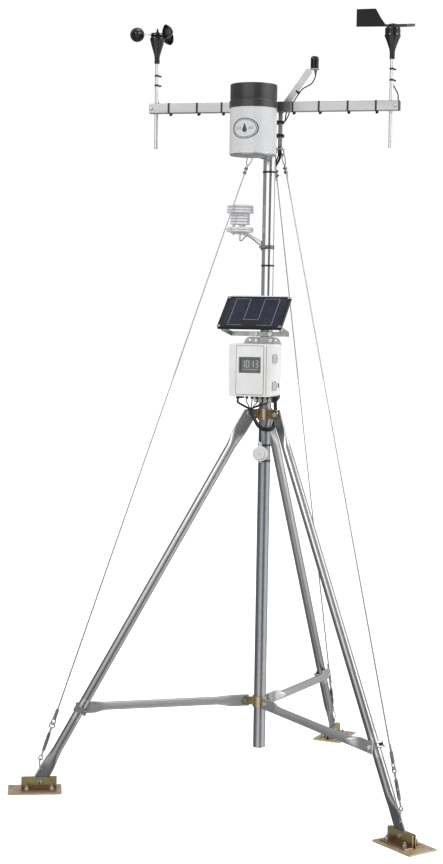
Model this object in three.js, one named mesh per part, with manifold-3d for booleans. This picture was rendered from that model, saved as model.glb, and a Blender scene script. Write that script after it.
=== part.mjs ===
// Tripod weather station: a folding steel tripod and mast that carry wind, rain, light and temperature
// sensors, a solar panel and a logger enclosure. Millimetres, +Z up, X along the crossarm, front is -Y.
import * as THREE from 'three';
import { mergeVertices } from 'three/addons/utils/BufferGeometryUtils.js';
import Module from 'manifold-3d';

const wasm = await Module();
wasm.setup();

// ---------------------------------------------------------------- driving dimensions
const GAP = 0.3;                 // clearance kept between touching pieces

const BEARINGS = { left: 200, right: -42.5, rear: 79 };   // degrees, one for each leg

const MAST_R = 20.65;
const MAST_WALL = 2;
const MAST_BOTTOM = 138;
const MAST_JOINT = 1620;         // where the upper tube plugs into the lower one
const MAST_TOP = 2328;
const KEEP_OUT_R = MAST_R + 0.6; // saddles are cut back to this round the mast

const APEX_Z = 1283;             // height of the leg pivots
const APEX_R = 55;               // radius of the leg pivots
const LEG_R = 16;
const LEG_T = 8.5;               // sideways offset of the leg plane from the mast axis
const FOOT_R = 750;              // radius of the foot pivots
const FOOT_Z = 30;
const FLAT = 6;                  // thickness of every pressed tube end
const TUBE_WALL = 2.5;
const BOLT_R = 4.7;
const BOLT_HOLE_R = 5.2;

const HUB_Z = 297;               // height of the strut pivots on the hub collar
const HUB_R = 50;
const STRUT_R = 14;
const STRUT_T = -24.7;           // the struts pass beside the legs, clear of their clamps
const STRUT_END_Z = 276;

const GUY_TOP_R = 58;
const GUY_TOP_Z = 2168;
const GUY_END_R = 749;
const GUY_END_Z = 98;
const WIRE_R = 1.5;

const ARM_Z = 2305;
const ARM_Y = -37.2;
const ARM_HALF = 16;
const ARM_LEFT = -408;
const ARM_RIGHT = 439;
const ARM_WALL = 2.5;
const UBOLT_R = 25.4;            // half the spacing of the legs of every U-bolt

const SPEED_X = -386;            // axis of the wind speed sensor
const DIRECTION_X = 410;         // axis of the wind direction sensor
const SENSOR_ROD_R = 6.35;

const GAUGE = { x: -27, y: -140, bottom: 2138, top: 2288, rim: 2364, radius: 76.9 };
const LIGHT = { x: 147, z: 2434.4 };
const SHIELD = { x: -98, bottom: 1892 };

const FACING = -5;               // degrees, the way the enclosure and panel are turned on the mast
const PANEL = { x: -14, width: 222, height: 155, thick: 12, tilt: 41, lowY: -157, lowZ: 1576 };
const CASE = { left: -86, right: 61.5, back: -30, split: -112, front: -140, bottom: 1346, top: 1520 };
const SHELL = 3;                 // wall of the case and door
const HINGE = { x: -90, y: -112, r: 3.6, pin: 1.6 };
const HINGE_SPANS = [[1360, 1417], [1454, 1510]];
const LATCH = { x: 64.5, y: -126, r: 2.6 };
const LATCH_SPANS = { lower: [1370, 1393], upper: [1460, 1483] };
const WINDOW = { left: -49, right: 23, bottom: 1426, top: 1475 };

const BUNDLE_R = 7;
const CABLE_R = 2;
const BUNDLE_X = 28.7;           // where the bundle runs up the back of the mast
const BUNDLE_Y = 24.1;
const BUNDLE_TOP = 2255;

// ---------------------------------------------------------------- finishes
const finishes = {
  galvanised: [0x9a9c9e, 0.38, 0.9],
  dullSteel: [0x85888b, 0.5, 0.85],
  zinc: [0x9c8a4a, 0.42, 0.8],
  aluminium: [0xb4b6b8, 0.4, 0.85],
  brightSteel: [0xc4c6c8, 0.3, 0.95],
  blackPlastic: [0x19191b, 0.3, 0.0],
  darkCollar: [0x3c393a, 0.5, 0.1],
  whitePaint: [0xe4e5e6, 0.35, 0.0],
  ivoryPlastic: [0xeae9e4, 0.5, 0.0],
  shieldPlastic: [0xe9ebee, 0.55, 0.0],
  solarGlass: [0x20232f, 0.15, 0.1],
  board: [0x2e6b47, 0.6, 0.0],
  cable: [0x1b1b1c, 0.55, 0.0],
};

const station = new THREE.Group();

function finish(kind) {
  const [color, roughness, metalness] = finishes[kind];
  return new THREE.MeshStandardMaterial({ color, roughness, metalness });
}

// ---------------------------------------------------------------- closed solids
// Positions only, shared vertices merged, collapsed triangles dropped, faces pointing out.
function closed(geometry) {
  const bare = geometry.clone();
  bare.deleteAttribute('normal');
  bare.deleteAttribute('uv');
  const merged = mergeVertices(bare, 1e-4);
  const position = merged.getAttribute('position');
  const source = merged.index.array;
  const kept = [];
  const a = new THREE.Vector3();
  const b = new THREE.Vector3();
  const c = new THREE.Vector3();
  let volume = 0;
  for (let i = 0; i < source.length; i += 3) {
    const [p, q, r] = [source[i], source[i + 1], source[i + 2]];
    if (p === q || q === r || r === p) continue;
    kept.push(p, q, r);
    a.fromBufferAttribute(position, p);
    b.fromBufferAttribute(position, q);
    c.fromBufferAttribute(position, r);
    volume += a.dot(b.cross(c));
  }
  if (volume < 0) {
    for (let i = 0; i < kept.length; i += 3) [kept[i], kept[i + 1]] = [kept[i + 1], kept[i]];
  }
  merged.setIndex(kept);
  return merged;
}

function solid(shape) {
  if (!shape.isBufferGeometry) return shape;
  const geometry = closed(shape);
  return new wasm.Manifold(new wasm.Mesh({
    numProp: 3,
    vertProperties: new Float32Array(geometry.getAttribute('position').array),
    triVerts: new Uint32Array(geometry.index.array),
  }));
}

function geometryOf(shape) {
  if (shape.isBufferGeometry) return closed(shape);
  const mesh = shape.getMesh();
  const geometry = new THREE.BufferGeometry();
  geometry.setAttribute('position', new THREE.BufferAttribute(new Float32Array(mesh.vertProperties), 3));
  geometry.setIndex(Array.from(mesh.triVerts));
  return geometry;
}

const join = (...shapes) => shapes.map(solid).reduce((sum, next) => sum.add(next));
const cut = (base, ...tools) => tools.map(solid).reduce((rest, tool) => rest.subtract(tool), solid(base));
const overlap = (a, b) => solid(a).intersect(solid(b));

function piece(name, shape, kind, parent = station) {
  const geometry = geometryOf(shape);
  geometry.computeVertexNormals();
  const mesh = new THREE.Mesh(geometry, finish(kind));
  mesh.name = name;
  parent.add(mesh);
  return mesh;
}

// ---------------------------------------------------------------- basic shapes
const radians = (degrees) => degrees * Math.PI / 180;
const at = (x, y, z) => new THREE.Vector3(x, y, z);

function box(x0, x1, y0, y1, z0, z1) {
  const shape = new THREE.BoxGeometry(x1 - x0, y1 - y0, z1 - z0);
  return shape.translate((x0 + x1) / 2, (y0 + y1) / 2, (z0 + z1) / 2);
}

function rod(radius, from, to, sides = 12) {
  const along = to.clone().sub(from);
  const shape = new THREE.CylinderGeometry(radius, radius, along.length(), sides);
  const turn = new THREE.Quaternion().setFromUnitVectors(at(0, 1, 0), along.clone().normalize());
  shape.applyQuaternion(turn);
  const middle = from.clone().add(to).multiplyScalar(0.5);
  return shape.translate(middle.x, middle.y, middle.z);
}

// A [radius, height] profile turned about Z. It closes on itself or starts and ends on the axis.
function revolve(profile, sides = 20) {
  const points = profile.map(([r, z]) => new THREE.Vector2(r, z));
  if (profile[0][0] > 0) points.push(points[0].clone());
  return new THREE.LatheGeometry(points, sides).rotateX(Math.PI / 2);
}

const ring = (inner, outer, z0, z1, sides = 24) =>
  revolve([[inner, z0], [outer, z0], [outer, z1], [inner, z1]], sides);

// A plate whose outline lies in the XZ plane, from y0 to y1.
function plateXZ(outline, y0, y1) {
  const shape = new THREE.Shape(outline.map(([x, z]) => new THREE.Vector2(x, z)));
  const plate = new THREE.ExtrudeGeometry(shape, { depth: y1 - y0, bevelEnabled: false, curveSegments: 6 });
  return plate.rotateX(Math.PI / 2).translate(0, y1, 0);
}

// A bent flat bar: the centre line of its thickness, in the XZ plane, given width along Y.
function bentBar(line, thickness, y0, y1) {
  const sides = [[], []];
  line.forEach((point, i) => {
    const before = line[Math.max(i - 1, 0)];
    const after = line[Math.min(i + 1, line.length - 1)];
    const inward = new THREE.Vector2(point[0] - before[0], point[1] - before[1]).normalize();
    const outward = new THREE.Vector2(after[0] - point[0], after[1] - point[1]).normalize();
    const along = inward.clone().add(outward).normalize();
    const reach = thickness / 2 / Math.max(along.dot(i ? inward : outward), 0.5);
    sides[0].push([point[0] - along.y * reach, point[1] + along.x * reach]);
    sides[1].unshift([point[0] + along.y * reach, point[1] - along.x * reach]);
  });
  return plateXZ(sides.flat(), y0, y1);
}

// A round tube that follows a smooth curve through the points.
function cable(points, radius = CABLE_R, steps = 40, sides = 8) {
  const outline = [];
  for (let i = 0; i < sides; i += 1) {
    const angle = i * 2 * Math.PI / sides;
    outline.push(new THREE.Vector2(radius * Math.cos(angle), radius * Math.sin(angle)));
  }
  const extrudePath = new THREE.CatmullRomCurve3(points, false, 'centripetal');
  return new THREE.ExtrudeGeometry(new THREE.Shape(outline), { steps, extrudePath, bevelEnabled: false });
}

// An eye whose ring lies in the XZ plane.
const eye = (radius, wire, x, y, z) =>
  new THREE.TorusGeometry(radius, wire, 6, 12).rotateX(Math.PI / 2).translate(x, y, z);

// A U-bolt round the back of the mast, its legs running forwards to frontY, with a nut on each.
function uBolt(z, frontY, nutY, wire) {
  const bend = new THREE.TorusGeometry(UBOLT_R, wire, 8, 20).translate(0, 0, z);
  const back = cut(bend, box(-40, 40, -40, 0, z - 10, z + 10));
  const legs = [-UBOLT_R, UBOLT_R].map((x) => rod(wire, at(x, 0.5, z), at(x, frontY, z), 8));
  const nuts = [-UBOLT_R, UBOLT_R].map((x) => rod(wire * 1.9, at(x, nutY, z), at(x, nutY - 5, z), 6));
  return join(back, ...legs, ...nuts);
}

const mastKeepOut = (z0, z1) => rod(KEEP_OUT_R, at(0, 0, z0), at(0, 0, z1), 24);

// A steel tube with both ends pressed flat. Its pivots are at z = 0 and z = length. The pressed ends are
// moved sideways, along Y, by shift.
function pressedTube({ length, radius, overhang, flat, taper, shift }) {
  const sides = 14;
  const flatWidth = FLAT + Math.PI * (radius - FLAT / 2);
  const stations = [-overhang, flat, flat + taper / 3, flat + taper * 2 / 3, flat + taper];
  stations.push(...stations.slice().reverse().map((z) => length - z));
  const pressed = (z) => {
    const fromEnd = Math.min(z, length - z);
    const t = THREE.MathUtils.clamp((flat + taper - fromEnd) / taper, 0, 1);
    return t * t * (3 - 2 * t);
  };
  const loop = (z, inset) => {
    const s = pressed(z);
    return Array.from({ length: sides }, (_, j) => {
      const angle = (j + 0.5) * 2 * Math.PI / sides;
      const [c, n] = [Math.cos(angle), Math.sin(angle)];
      const flatY = THREE.MathUtils.clamp(2.2 * n, -1, 1) * (FLAT / 2 - inset);
      const x = (1 - s) * (radius - inset) * c + s * (flatWidth / 2 - inset) * c;
      const y = (1 - s) * (radius - inset) * n + s * (flatY + shift);
      return [x, y, z];
    });
  };
  const insideStations = stations.filter((z, i) => ![2, 7].includes(i)).reverse();
  const loops = [...stations.map((z) => loop(z, 0)), ...insideStations.map((z) => loop(z, TUBE_WALL))];
  const vertices = loops.flat(2);
  const triangles = [];
  for (let i = 0; i < loops.length; i += 1) {
    const next = (i + 1) % loops.length;
    for (let j = 0; j < sides; j += 1) {
      const k = (j + 1) % sides;
      triangles.push(i * sides + j, i * sides + k, next * sides + k);
      triangles.push(i * sides + j, next * sides + k, next * sides + j);
    }
  }
  const tube = new THREE.BufferGeometry();
  tube.setAttribute('position', new THREE.Float32BufferAttribute(vertices, 3));
  tube.setIndex(triangles);
  const holes = [0, length].map((z) => rod(BOLT_HOLE_R, at(0, -60, z), at(0, 60, z), 10));
  return cut(tube, ...holes);
}

// A hex bolt along Y that clamps everything between y0 and y1.
function pivotBolt(x, y0, y1, z) {
  const shank = rod(BOLT_R, at(x, y0 - 2, z), at(x, y1 + 10, z), 12);
  const head = rod(9, at(x, y0 - 6.3, z), at(x, y0 - GAP, z), 6);
  const nut = rod(9, at(x, y1 + GAP, z), at(x, y1 + 7, z), 6);
  return join(shank, head, nut);
}

// An ear standing out from a collar, round at its outer end.
function ear(x0, x1, y0, y1, z, half) {
  return join(box(x0, x1, y0, y1, z - half, z + half), rod(half, at(x1, y0, z), at(x1, y1, z), 16));
}

// A group turned to one bearing: its X runs outwards and its Y sideways.
function turned(bearing) {
  const group = new THREE.Group();
  group.rotation.z = radians(bearing);
  station.add(group);
  return group;
}

// ---------------------------------------------------------------- mast
piece('mast_lower', ring(MAST_R - MAST_WALL, MAST_R, MAST_BOTTOM, MAST_JOINT), 'dullSteel');

const spigotR = MAST_R - MAST_WALL - GAP;
piece('mast_upper', revolve([
  [spigotR - MAST_WALL, MAST_JOINT - 60], [spigotR, MAST_JOINT - 60], [spigotR, MAST_JOINT + GAP],
  [MAST_R, MAST_JOINT + GAP], [MAST_R, MAST_TOP], [MAST_R - MAST_WALL, MAST_TOP],
  [MAST_R - MAST_WALL, MAST_JOINT + 4], [spigotR - MAST_WALL, MAST_JOINT],
], 24), 'galvanised');

// ---------------------------------------------------------------- tripod
const legAngle = Math.atan2(FOOT_R - APEX_R, APEX_Z - FOOT_Z);
const legLength = Math.hypot(FOOT_R - APEX_R, APEX_Z - FOOT_Z);
const clampAlong = (APEX_Z - STRUT_END_Z) / Math.cos(legAngle);
const strutEndR = APEX_R + (APEX_Z - STRUT_END_Z) * Math.tan(legAngle);
const strutDip = Math.atan2(HUB_Z - STRUT_END_Z, strutEndR - HUB_R);
const strutLength = Math.hypot(HUB_Z - STRUT_END_Z, strutEndR - HUB_R);
const flatLow = LEG_T - FLAT / 2;
const flatHigh = LEG_T + FLAT / 2;

function apexCollar() {
  const earHigh = flatLow - GAP;
  const parts = [ring(MAST_R + GAP, 25, APEX_Z - 21, APEX_Z + 19)];
  for (const bearing of Object.values(BEARINGS)) {
    const hole = rod(BOLT_HOLE_R, at(APEX_R, -20, APEX_Z), at(APEX_R, 20, APEX_Z), 16);
    const plate = cut(ear(23.5, APEX_R, earHigh - 6, earHigh, APEX_Z, 16), hole);
    parts.push(plate.rotate([0, 0, bearing]));
  }
  return join(...parts);
}

// Each strut turns on a pin that is riveted to the hub's ear.
function hubCollar() {
  const earLow = STRUT_T + STRUT_R + GAP;
  const strutLow = STRUT_T + STRUT_R - FLAT;
  const parts = [ring(MAST_R + 0.6, 25.3, HUB_Z - 19, HUB_Z + 19)];
  for (const bearing of Object.values(BEARINGS)) {
    const plate = ear(21.8, HUB_R, earLow, earLow + 6, HUB_Z, 14);
    const pin = rod(BOLT_R, at(HUB_R, earLow + 1, HUB_Z), at(HUB_R, strutLow - 2, HUB_Z), 12);
    const head = rod(8, at(HUB_R, strutLow - GAP, HUB_Z), at(HUB_R, strutLow - 4, HUB_Z), 12);
    parts.push(join(plate, pin, head).rotate([0, 0, bearing]));
  }
  return join(...parts);
}

piece('apex_collar', apexCollar(), 'zinc');
piece('hub_collar', hubCollar(), 'zinc');

const legShape = pressedTube({ length: legLength, radius: LEG_R, overhang: 8, flat: 50, taper: 80, shift: 0 });
const strutShape = pressedTube({
  length: strutLength, radius: STRUT_R, overhang: 14, flat: 42, taper: 55, shift: STRUT_R - FLAT / 2,
});

function foot() {
  const [inner, outer] = [FOOT_R - 60, FOOT_R + 60];
  const base = box(FOOT_R - 76, FOOT_R + 104, LEG_T - 56, LEG_T + 56, 0, 4);
  const near = [box(inner, outer, flatHigh + GAP, flatHigh + 4.3, 2, 46), box(inner, outer, flatHigh + GAP, 46, 2, 8)];
  const far = [box(inner, outer, flatLow - 4.3, flatLow - GAP, 2, 46), box(inner, outer, -29, flatLow - GAP, 2, 8)];
  const hole = rod(BOLT_HOLE_R, at(FOOT_R, -20, FOOT_Z), at(FOOT_R, 40, FOOT_Z), 16);
  return cut(join(base, ...near, ...far), hole);
}

function turnbuckle(start) {
  const barrel = revolve([
    [0, start + 14], [4, start + 14], [4, start + 26], [7.5, start + 38], [7.5, start + 78],
    [4, start + 90], [4, start + 104], [0, start + 104],
  ], 12);
  return join(eye(9, 2.2, 0, 0, start), rod(3, at(0, 0, start + 8), at(0, 0, start + 20), 8), barrel,
    rod(2.5, at(0, 0, start + 100), at(0, 0, start + 111), 8), eye(7, 2, 0, 0, start + 117));
}

const guyAngle = Math.atan2(GUY_END_R - GUY_TOP_R, GUY_TOP_Z - GUY_END_Z);
const wireEnd = 2040;            // along the guy from its top pivot

for (const [side, bearing] of Object.entries(BEARINGS)) {
  const sector = turned(bearing);
  piece(`leg_bolt_${side}`, pivotBolt(APEX_R, flatLow - GAP - 6, flatHigh, APEX_Z), 'brightSteel', sector);

  const leg = new THREE.Group();
  leg.position.set(APEX_R, LEG_T, APEX_Z);
  leg.rotation.y = Math.PI - legAngle;
  sector.add(leg);
  piece(`leg_${side}`, legShape, 'galvanised', leg);
  const strap = ring(LEG_R + GAP, LEG_R + 2.8, clampAlong - 13, clampAlong + 13, 20);
  const saddle = box(-10, 10, LEG_R + 1, LEG_R + 8, clampAlong - 15, clampAlong + 15);
  piece(`strut_clamp_${side}`, join(strap, saddle), 'brightSteel', leg);

  const strut = new THREE.Group();
  strut.position.set(HUB_R, STRUT_T, HUB_Z);
  strut.rotation.y = Math.PI / 2 + strutDip;
  sector.add(strut);
  piece(`strut_${side}`, strutShape, 'galvanised', strut);

  piece(`foot_${side}`, foot(), 'zinc', sector);
  piece(`foot_bolt_${side}`, pivotBolt(FOOT_R, flatLow - 4.3, flatHigh + 4.3, FOOT_Z), 'brightSteel', sector);

  const guy = new THREE.Group();
  guy.position.set(GUY_TOP_R, LEG_T, GUY_TOP_Z);
  guy.rotation.y = Math.PI - guyAngle;
  sector.add(guy);
  const wire = join(eye(7, 1.8, 0, 0, 12.5), rod(WIRE_R, at(0, 0, 19), at(0, 0, wireEnd), 6));
  piece(`guy_wire_${side}`, wire, 'brightSteel', guy);
  piece(`turnbuckle_${side}`, turnbuckle(wireEnd + 11.6), 'brightSteel', guy);
}

function guyRing() {
  const parts = [ring(MAST_R + GAP, 24.5, GUY_TOP_Z - 10, GUY_TOP_Z + 10)];
  for (const bearing of Object.values(BEARINGS)) {
    const plate = join(
      box(22.5, GUY_TOP_R, LEG_T - 11, LEG_T + 11, GUY_TOP_Z - 2, GUY_TOP_Z + 3),
      rod(11, at(GUY_TOP_R, LEG_T, GUY_TOP_Z - 2), at(GUY_TOP_R, LEG_T, GUY_TOP_Z + 3), 16),
    );
    const hole = rod(4.5, at(GUY_TOP_R, LEG_T, GUY_TOP_Z - 9), at(GUY_TOP_R, LEG_T, GUY_TOP_Z + 9), 12);
    parts.push(cut(plate, hole, mastKeepOut(GUY_TOP_Z - 9, GUY_TOP_Z + 9)).rotate([0, 0, bearing]));
  }
  return join(...parts);
}
piece('guy_ring', guyRing(), 'brightSteel');

// ---------------------------------------------------------------- crossarm
function crossarm() {
  const inner = ARM_HALF - ARM_WALL;
  const bar = box(ARM_LEFT, ARM_RIGHT, ARM_Y - ARM_HALF, ARM_Y + ARM_HALF, ARM_Z - ARM_HALF, ARM_Z + ARM_HALF);
  const bore = box(ARM_LEFT - 1, ARM_RIGHT + 1, ARM_Y - inner, ARM_Y + inner, ARM_Z - inner, ARM_Z + inner);
  const rodHoles = [SPEED_X, DIRECTION_X].map((x) =>
    rod(SENSOR_ROD_R + GAP, at(x, ARM_Y, ARM_Z - 30), at(x, ARM_Y, ARM_Z + 30), 16));
  const boltHoles = [-UBOLT_R, UBOLT_R].map((x) => rod(4.4, at(x, -80, ARM_Z), at(x, 0, ARM_Z), 12));
  return cut(bar, bore, ...rodHoles, ...boltHoles);
}
const armFront = ARM_Y - ARM_HALF;
piece('crossarm', crossarm(), 'aluminium');
piece('crossarm_clamp', uBolt(ARM_Z, armFront - 6, armFront - GAP, 3.8), 'brightSteel');

// ---------------------------------------------------------------- wind speed sensor
const HOUSING_BOTTOM = 2455;
const housingBore = [[0, HOUSING_BOTTOM + 16.3], [SENSOR_ROD_R + GAP, HOUSING_BOTTOM + 16.3],
  [SENSOR_ROD_R + GAP, HOUSING_BOTTOM], [8.6, HOUSING_BOTTOM]];

function placed(x, y) {
  const group = new THREE.Group();
  group.position.set(x, y, 0);
  station.add(group);
  return group;
}

const sensorRod = (bottom) => rod(SENSOR_ROD_R, at(0, 0, bottom), at(0, 0, HOUSING_BOTTOM + 16), 16);

const speed = placed(SPEED_X, ARM_Y);
piece('anemometer_rod', sensorRod(2171), 'brightSteel', speed);
piece('anemometer_body', revolve([
  ...housingBore, [8.6, 2474], [25, 2531], [24.4, 2540], [20.5, 2546], [4.3, 2546], [4.3, 2522], [0, 2522],
]), 'blackPlastic', speed);

const CUP_RADIUS = 68.4;         // from the spindle to the middle of a cup
const CUP_Z = 2552;
const CUP_BEARINGS = [192, 312, 72];

function cupRotor() {
  const hub = revolve([
    [0, 2524], [3.9, 2524], [3.9, 2547], [23.5, 2547], [23.5, 2556], [5, 2557], [2.2, 2573], [0, 2573],
  ]);
  const parts = [hub];
  for (const bearing of CUP_BEARINGS) {
    const cup = revolve([
      [0, -28], [5, -27], [15, -19], [22.3, -8], [24.3, 0], [22.7, 0], [20.8, -7.2], [13.8, -17.6], [4, -25.4],
      [0, -26],
    ], 14).rotateX(Math.PI / 2).translate(CUP_RADIUS, -4, CUP_Z);
    const arm = rod(1.7, at(18, 0, CUP_Z), at(CUP_RADIUS - 22, 0, CUP_Z), 8);
    parts.push(join(cup, arm).rotate([0, 0, bearing]));
  }
  return join(...parts);
}
piece('cup_rotor', cupRotor(), 'blackPlastic', speed);

// ---------------------------------------------------------------- wind direction sensor
const direction = placed(DIRECTION_X, ARM_Y);
piece('vane_rod', sensorRod(2169), 'brightSteel', direction);
piece('vane_body', revolve([
  ...housingBore, [9, 2478], [26, 2523], [26.6, 2530], [26.6, 2556], [4.3, 2556], [4.3, 2532], [0, 2532],
]), 'blackPlastic', direction);

const vaneHub = revolve([
  [0, 2534], [3.9, 2534], [3.9, 2556.6], [13, 2556.6], [13, 2568], [8, 2572], [0, 2573],
]);
const fin = plateXZ([[-120, 2562], [-8, 2559], [-8, 2566], [-24, 2568], [-57, 2619.5], [-120, 2619]], -1.5, 1.5);
const counterweight = plateXZ([[5, 2557.5], [70, 2558.5], [73, 2567], [5, 2567.5]], -5, 5);
piece('wind_vane', join(vaneHub, fin, counterweight), 'blackPlastic', direction);

// ---------------------------------------------------------------- rain gauge
const gauge = placed(GAUGE.x, GAUGE.y);
const BUCKET_Z = 2215;
const BUCKET_TILT = 12;          // degrees, the bucket rests on one stop

piece('gauge_housing', ring(GAUGE.radius - 2, GAUGE.radius, GAUGE.bottom, GAUGE.top, 32), 'whitePaint', gauge);
piece('gauge_funnel', revolve([
  [75.2, GAUGE.top + 0.4], [79.3, GAUGE.top + 0.4], [79.3, 2310], [76.4, 2312.5], [76.4, 2316.5], [77, 2317.5], [77, GAUGE.rim],
  [74.4, GAUGE.rim], [74.4, 2334], [5, 2276], [5, 2262], [7.5, 2262], [7.5, 2273], [75.2, 2330],
], 28), 'darkCollar', gauge);

// The bracket stands behind the housing and bolts to the front of the crossarm.
function gaugeBase() {
  const floor = rod(GAUGE.radius - 2 - GAP, at(0, 0, GAUGE.bottom - 3), at(0, 0, GAUGE.bottom + 5), 32);
  const [left, right] = [-GAUGE.x - 14, -GAUGE.x + 14];
  const tongue = box(left, right, 0, 84.5, GAUGE.bottom - 6, GAUGE.bottom - GAP);
  const upright = box(left, right, 80.5, 84.5, GAUGE.bottom - 6, ARM_Z + 14);
  const pad = box(left, right, 84, armFront - GAUGE.y - GAP, ARM_Z - 14, ARM_Z + 14);
  const posts = [-24, 20].map((y) =>
    cut(box(-4, 4, y, y + 4, GAUGE.bottom + 4, BUCKET_Z + 6), rod(2.4, at(0, y - 2, BUCKET_Z), at(0, y + 6, BUCKET_Z), 12)));
  const stops = [-33, 33].map((x) => rod(2.5, at(x, 0, GAUGE.bottom + 4), at(x, 0, BUCKET_Z + 0.2), 8));
  return join(floor, tongue, upright, pad, ...posts, ...stops);
}
piece('gauge_base', gaugeBase(), 'aluminium', gauge);

function tippingBucket() {
  const floor = bentBar([[-46, 16], [-6, -4], [6, -4], [46, 16]], 2, -17, 17);
  const divider = box(-1, 1, -17, 17, -4, 24);
  const wall = [[-46, 17], [-6, -4], [6, -4], [46, 17], [1, 24], [-1, 24]];
  const walls = [-18, 16].map((y) => plateXZ(wall, y, y + 2));
  return join(floor, divider, ...walls, rod(2, at(0, -26, 0), at(0, 26, 0), 12));
}
const bucket = piece('tipping_bucket', tippingBucket(), 'whitePaint', gauge);
bucket.position.z = BUCKET_Z;
bucket.rotation.y = radians(BUCKET_TILT);

// ---------------------------------------------------------------- light sensor
function lightSensor() {
  const profile = [[0, LIGHT.z], [14, LIGHT.z]];
  for (let rib = 0; rib < 4; rib += 1) {
    const z = LIGHT.z + 5 + rib * 7;
    profile.push([14, z], [12.8, z + 1], [12.8, z + 2], [14, z + 3]);
  }
  return revolve([...profile, [13.4, LIGHT.z + 35], [9, LIGHT.z + 40], [0, LIGHT.z + 42]], 14);
}
const light = placed(LIGHT.x, 0);
piece('light_sensor', lightSensor(), 'blackPlastic', light);

// An angle bar that leans out from the mast, on a short channel with two standoffs.
function sensorArm() {
  const lean = at(107, 0, 150).normalize();
  const place = new THREE.Matrix4().makeBasis(at(lean.z, 0, -lean.x), at(0, 1, 0), lean);
  place.setPosition(30, 0, 2285);
  const front = box(-11, 11, -12, -9, 0, 181).applyMatrix4(place);
  const edge = box(-11, -8, -12, 12, 0, 181).applyMatrix4(place);
  const shelf = box(124, 166, -14, 14, LIGHT.z - 4, LIGHT.z - GAP);
  const web = box(30, 33, -12, 12, 2180, 2300);
  const flange = box(30, 44, -12, -9, 2180, 2296);
  const standoffs = [2208, 2252].map((z) => box(15, 31, -6, 6, z, z + 14));
  const above = box(0, 400, -40, 40, LIGHT.z - GAP, 2520);
  const clampRoom = rod(30, at(0, 0, ARM_Z - 6), at(0, 0, ARM_Z + 6), 24);
  return cut(join(front, edge, shelf, web, flange, ...standoffs), above, mastKeepOut(2100, 2500), clampRoom);
}
piece('sensor_arm', sensorArm(), 'aluminium');

// ---------------------------------------------------------------- radiation shield
function shieldPlate(z, radius, bore) {
  return revolve([[bore, z - 1.6], [bore, z], [radius - 5, z], [radius, z - 6], [radius - 6, z - 1.6]], 18);
}

function radiationShield() {
  const [wide, narrow, bore] = [46, 34.5, 14];
  const cap = revolve([[0, 1987], [30, 1985.5], [41, 1984], [46, 1979], [44.6, 1978], [40, 1982.4], [0, 1983]], 18);
  const plates = [cap];
  for (const z of [1976, 1967]) plates.push(shieldPlate(z, wide, bore));
  for (const z of [1957, 1947.5, 1938, 1928.5]) plates.push(shieldPlate(z, narrow, bore));
  for (const z of [1911, 1903]) plates.push(shieldPlate(z, wide, bore));
  const posts = [60, 180, 300].map((bearing) => {
    const [x, y] = [22 * Math.cos(radians(bearing)), 22 * Math.sin(radians(bearing))];
    return rod(3, at(x, y, SHIELD.bottom), at(x, y, 1984.5), 6);
  });
  return join(...plates, ...posts);
}
const shield = placed(SHIELD.x, 0);
piece('radiation_shield', radiationShield(), 'shieldPlastic', shield);
piece('temperature_probe', revolve([
  [0, 1872], [3.4, 1872], [3.4, SHIELD.bottom], [7, SHIELD.bottom], [7, 1895], [3.4, 1895], [3.4, 1945], [0, 1945],
], 12), 'brightSteel', shield);

const shelfZ = SHIELD.bottom - GAP - 1.5;
const bracketStrip = bentBar([[-125, shelfZ], [-70, shelfZ], [-23.2, 1864], [-23.2, 1836]], 3, -9, 9);
const bracketShelf = box(-125, -72, -26, 26, shelfZ - 1.5, shelfZ + 1.5);
piece('shield_bracket', cut(join(bracketStrip, bracketShelf),
  rod(4.2, at(SHIELD.x, 0, 1880), at(SHIELD.x, 0, 1900), 12), mastKeepOut(1800, 1900)), 'aluminium');

// ---------------------------------------------------------------- solar panel
const facing = turned(FACING);
const panel = new THREE.Group();
panel.position.set(PANEL.x, PANEL.lowY, PANEL.lowZ);
panel.rotation.x = radians(PANEL.tilt);
facing.add(panel);

const PIVOT = { y: 16, z: -22 }; // the panel's hinge in its own frame
const PIN_R = 3;
const halfWidth = PANEL.width / 2;

function solarPanel() {
  const body = box(-halfWidth, halfWidth, 0, PANEL.height, -PANEL.thick, 0);
  const glassBed = box(6 - halfWidth, halfWidth - 6, 6, PANEL.height - 6, -1.2, 1);
  const tray = box(4 - halfWidth, halfWidth - 4, 4, PANEL.height - 4, -PANEL.thick - 1, -5);
  const lugs = [-97.2, 97.7].map((x) => cut(
    join(box(x, x + 3, PIVOT.y - 8, PIVOT.y + 8, PIVOT.z, -4),
      rod(8, at(x, PIVOT.y, PIVOT.z), at(x + 3, PIVOT.y, PIVOT.z), 16)),
    rod(PIN_R + 0.5, at(x - 1, PIVOT.y, PIVOT.z), at(x + 4, PIVOT.y, PIVOT.z), 12),
  ));
  return join(cut(body, glassBed, tray), ...lugs);
}
piece('solar_panel', solarPanel(), 'solarGlass', panel);

// The hinge line of the panel in the facing group.
const tilt = radians(PANEL.tilt);
const hingeY = PANEL.lowY + PIVOT.y * Math.cos(tilt) - PIVOT.z * Math.sin(tilt);
const hingeZ = PANEL.lowZ + PIVOT.y * Math.sin(tilt) + PIVOT.z * Math.cos(tilt);

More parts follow.
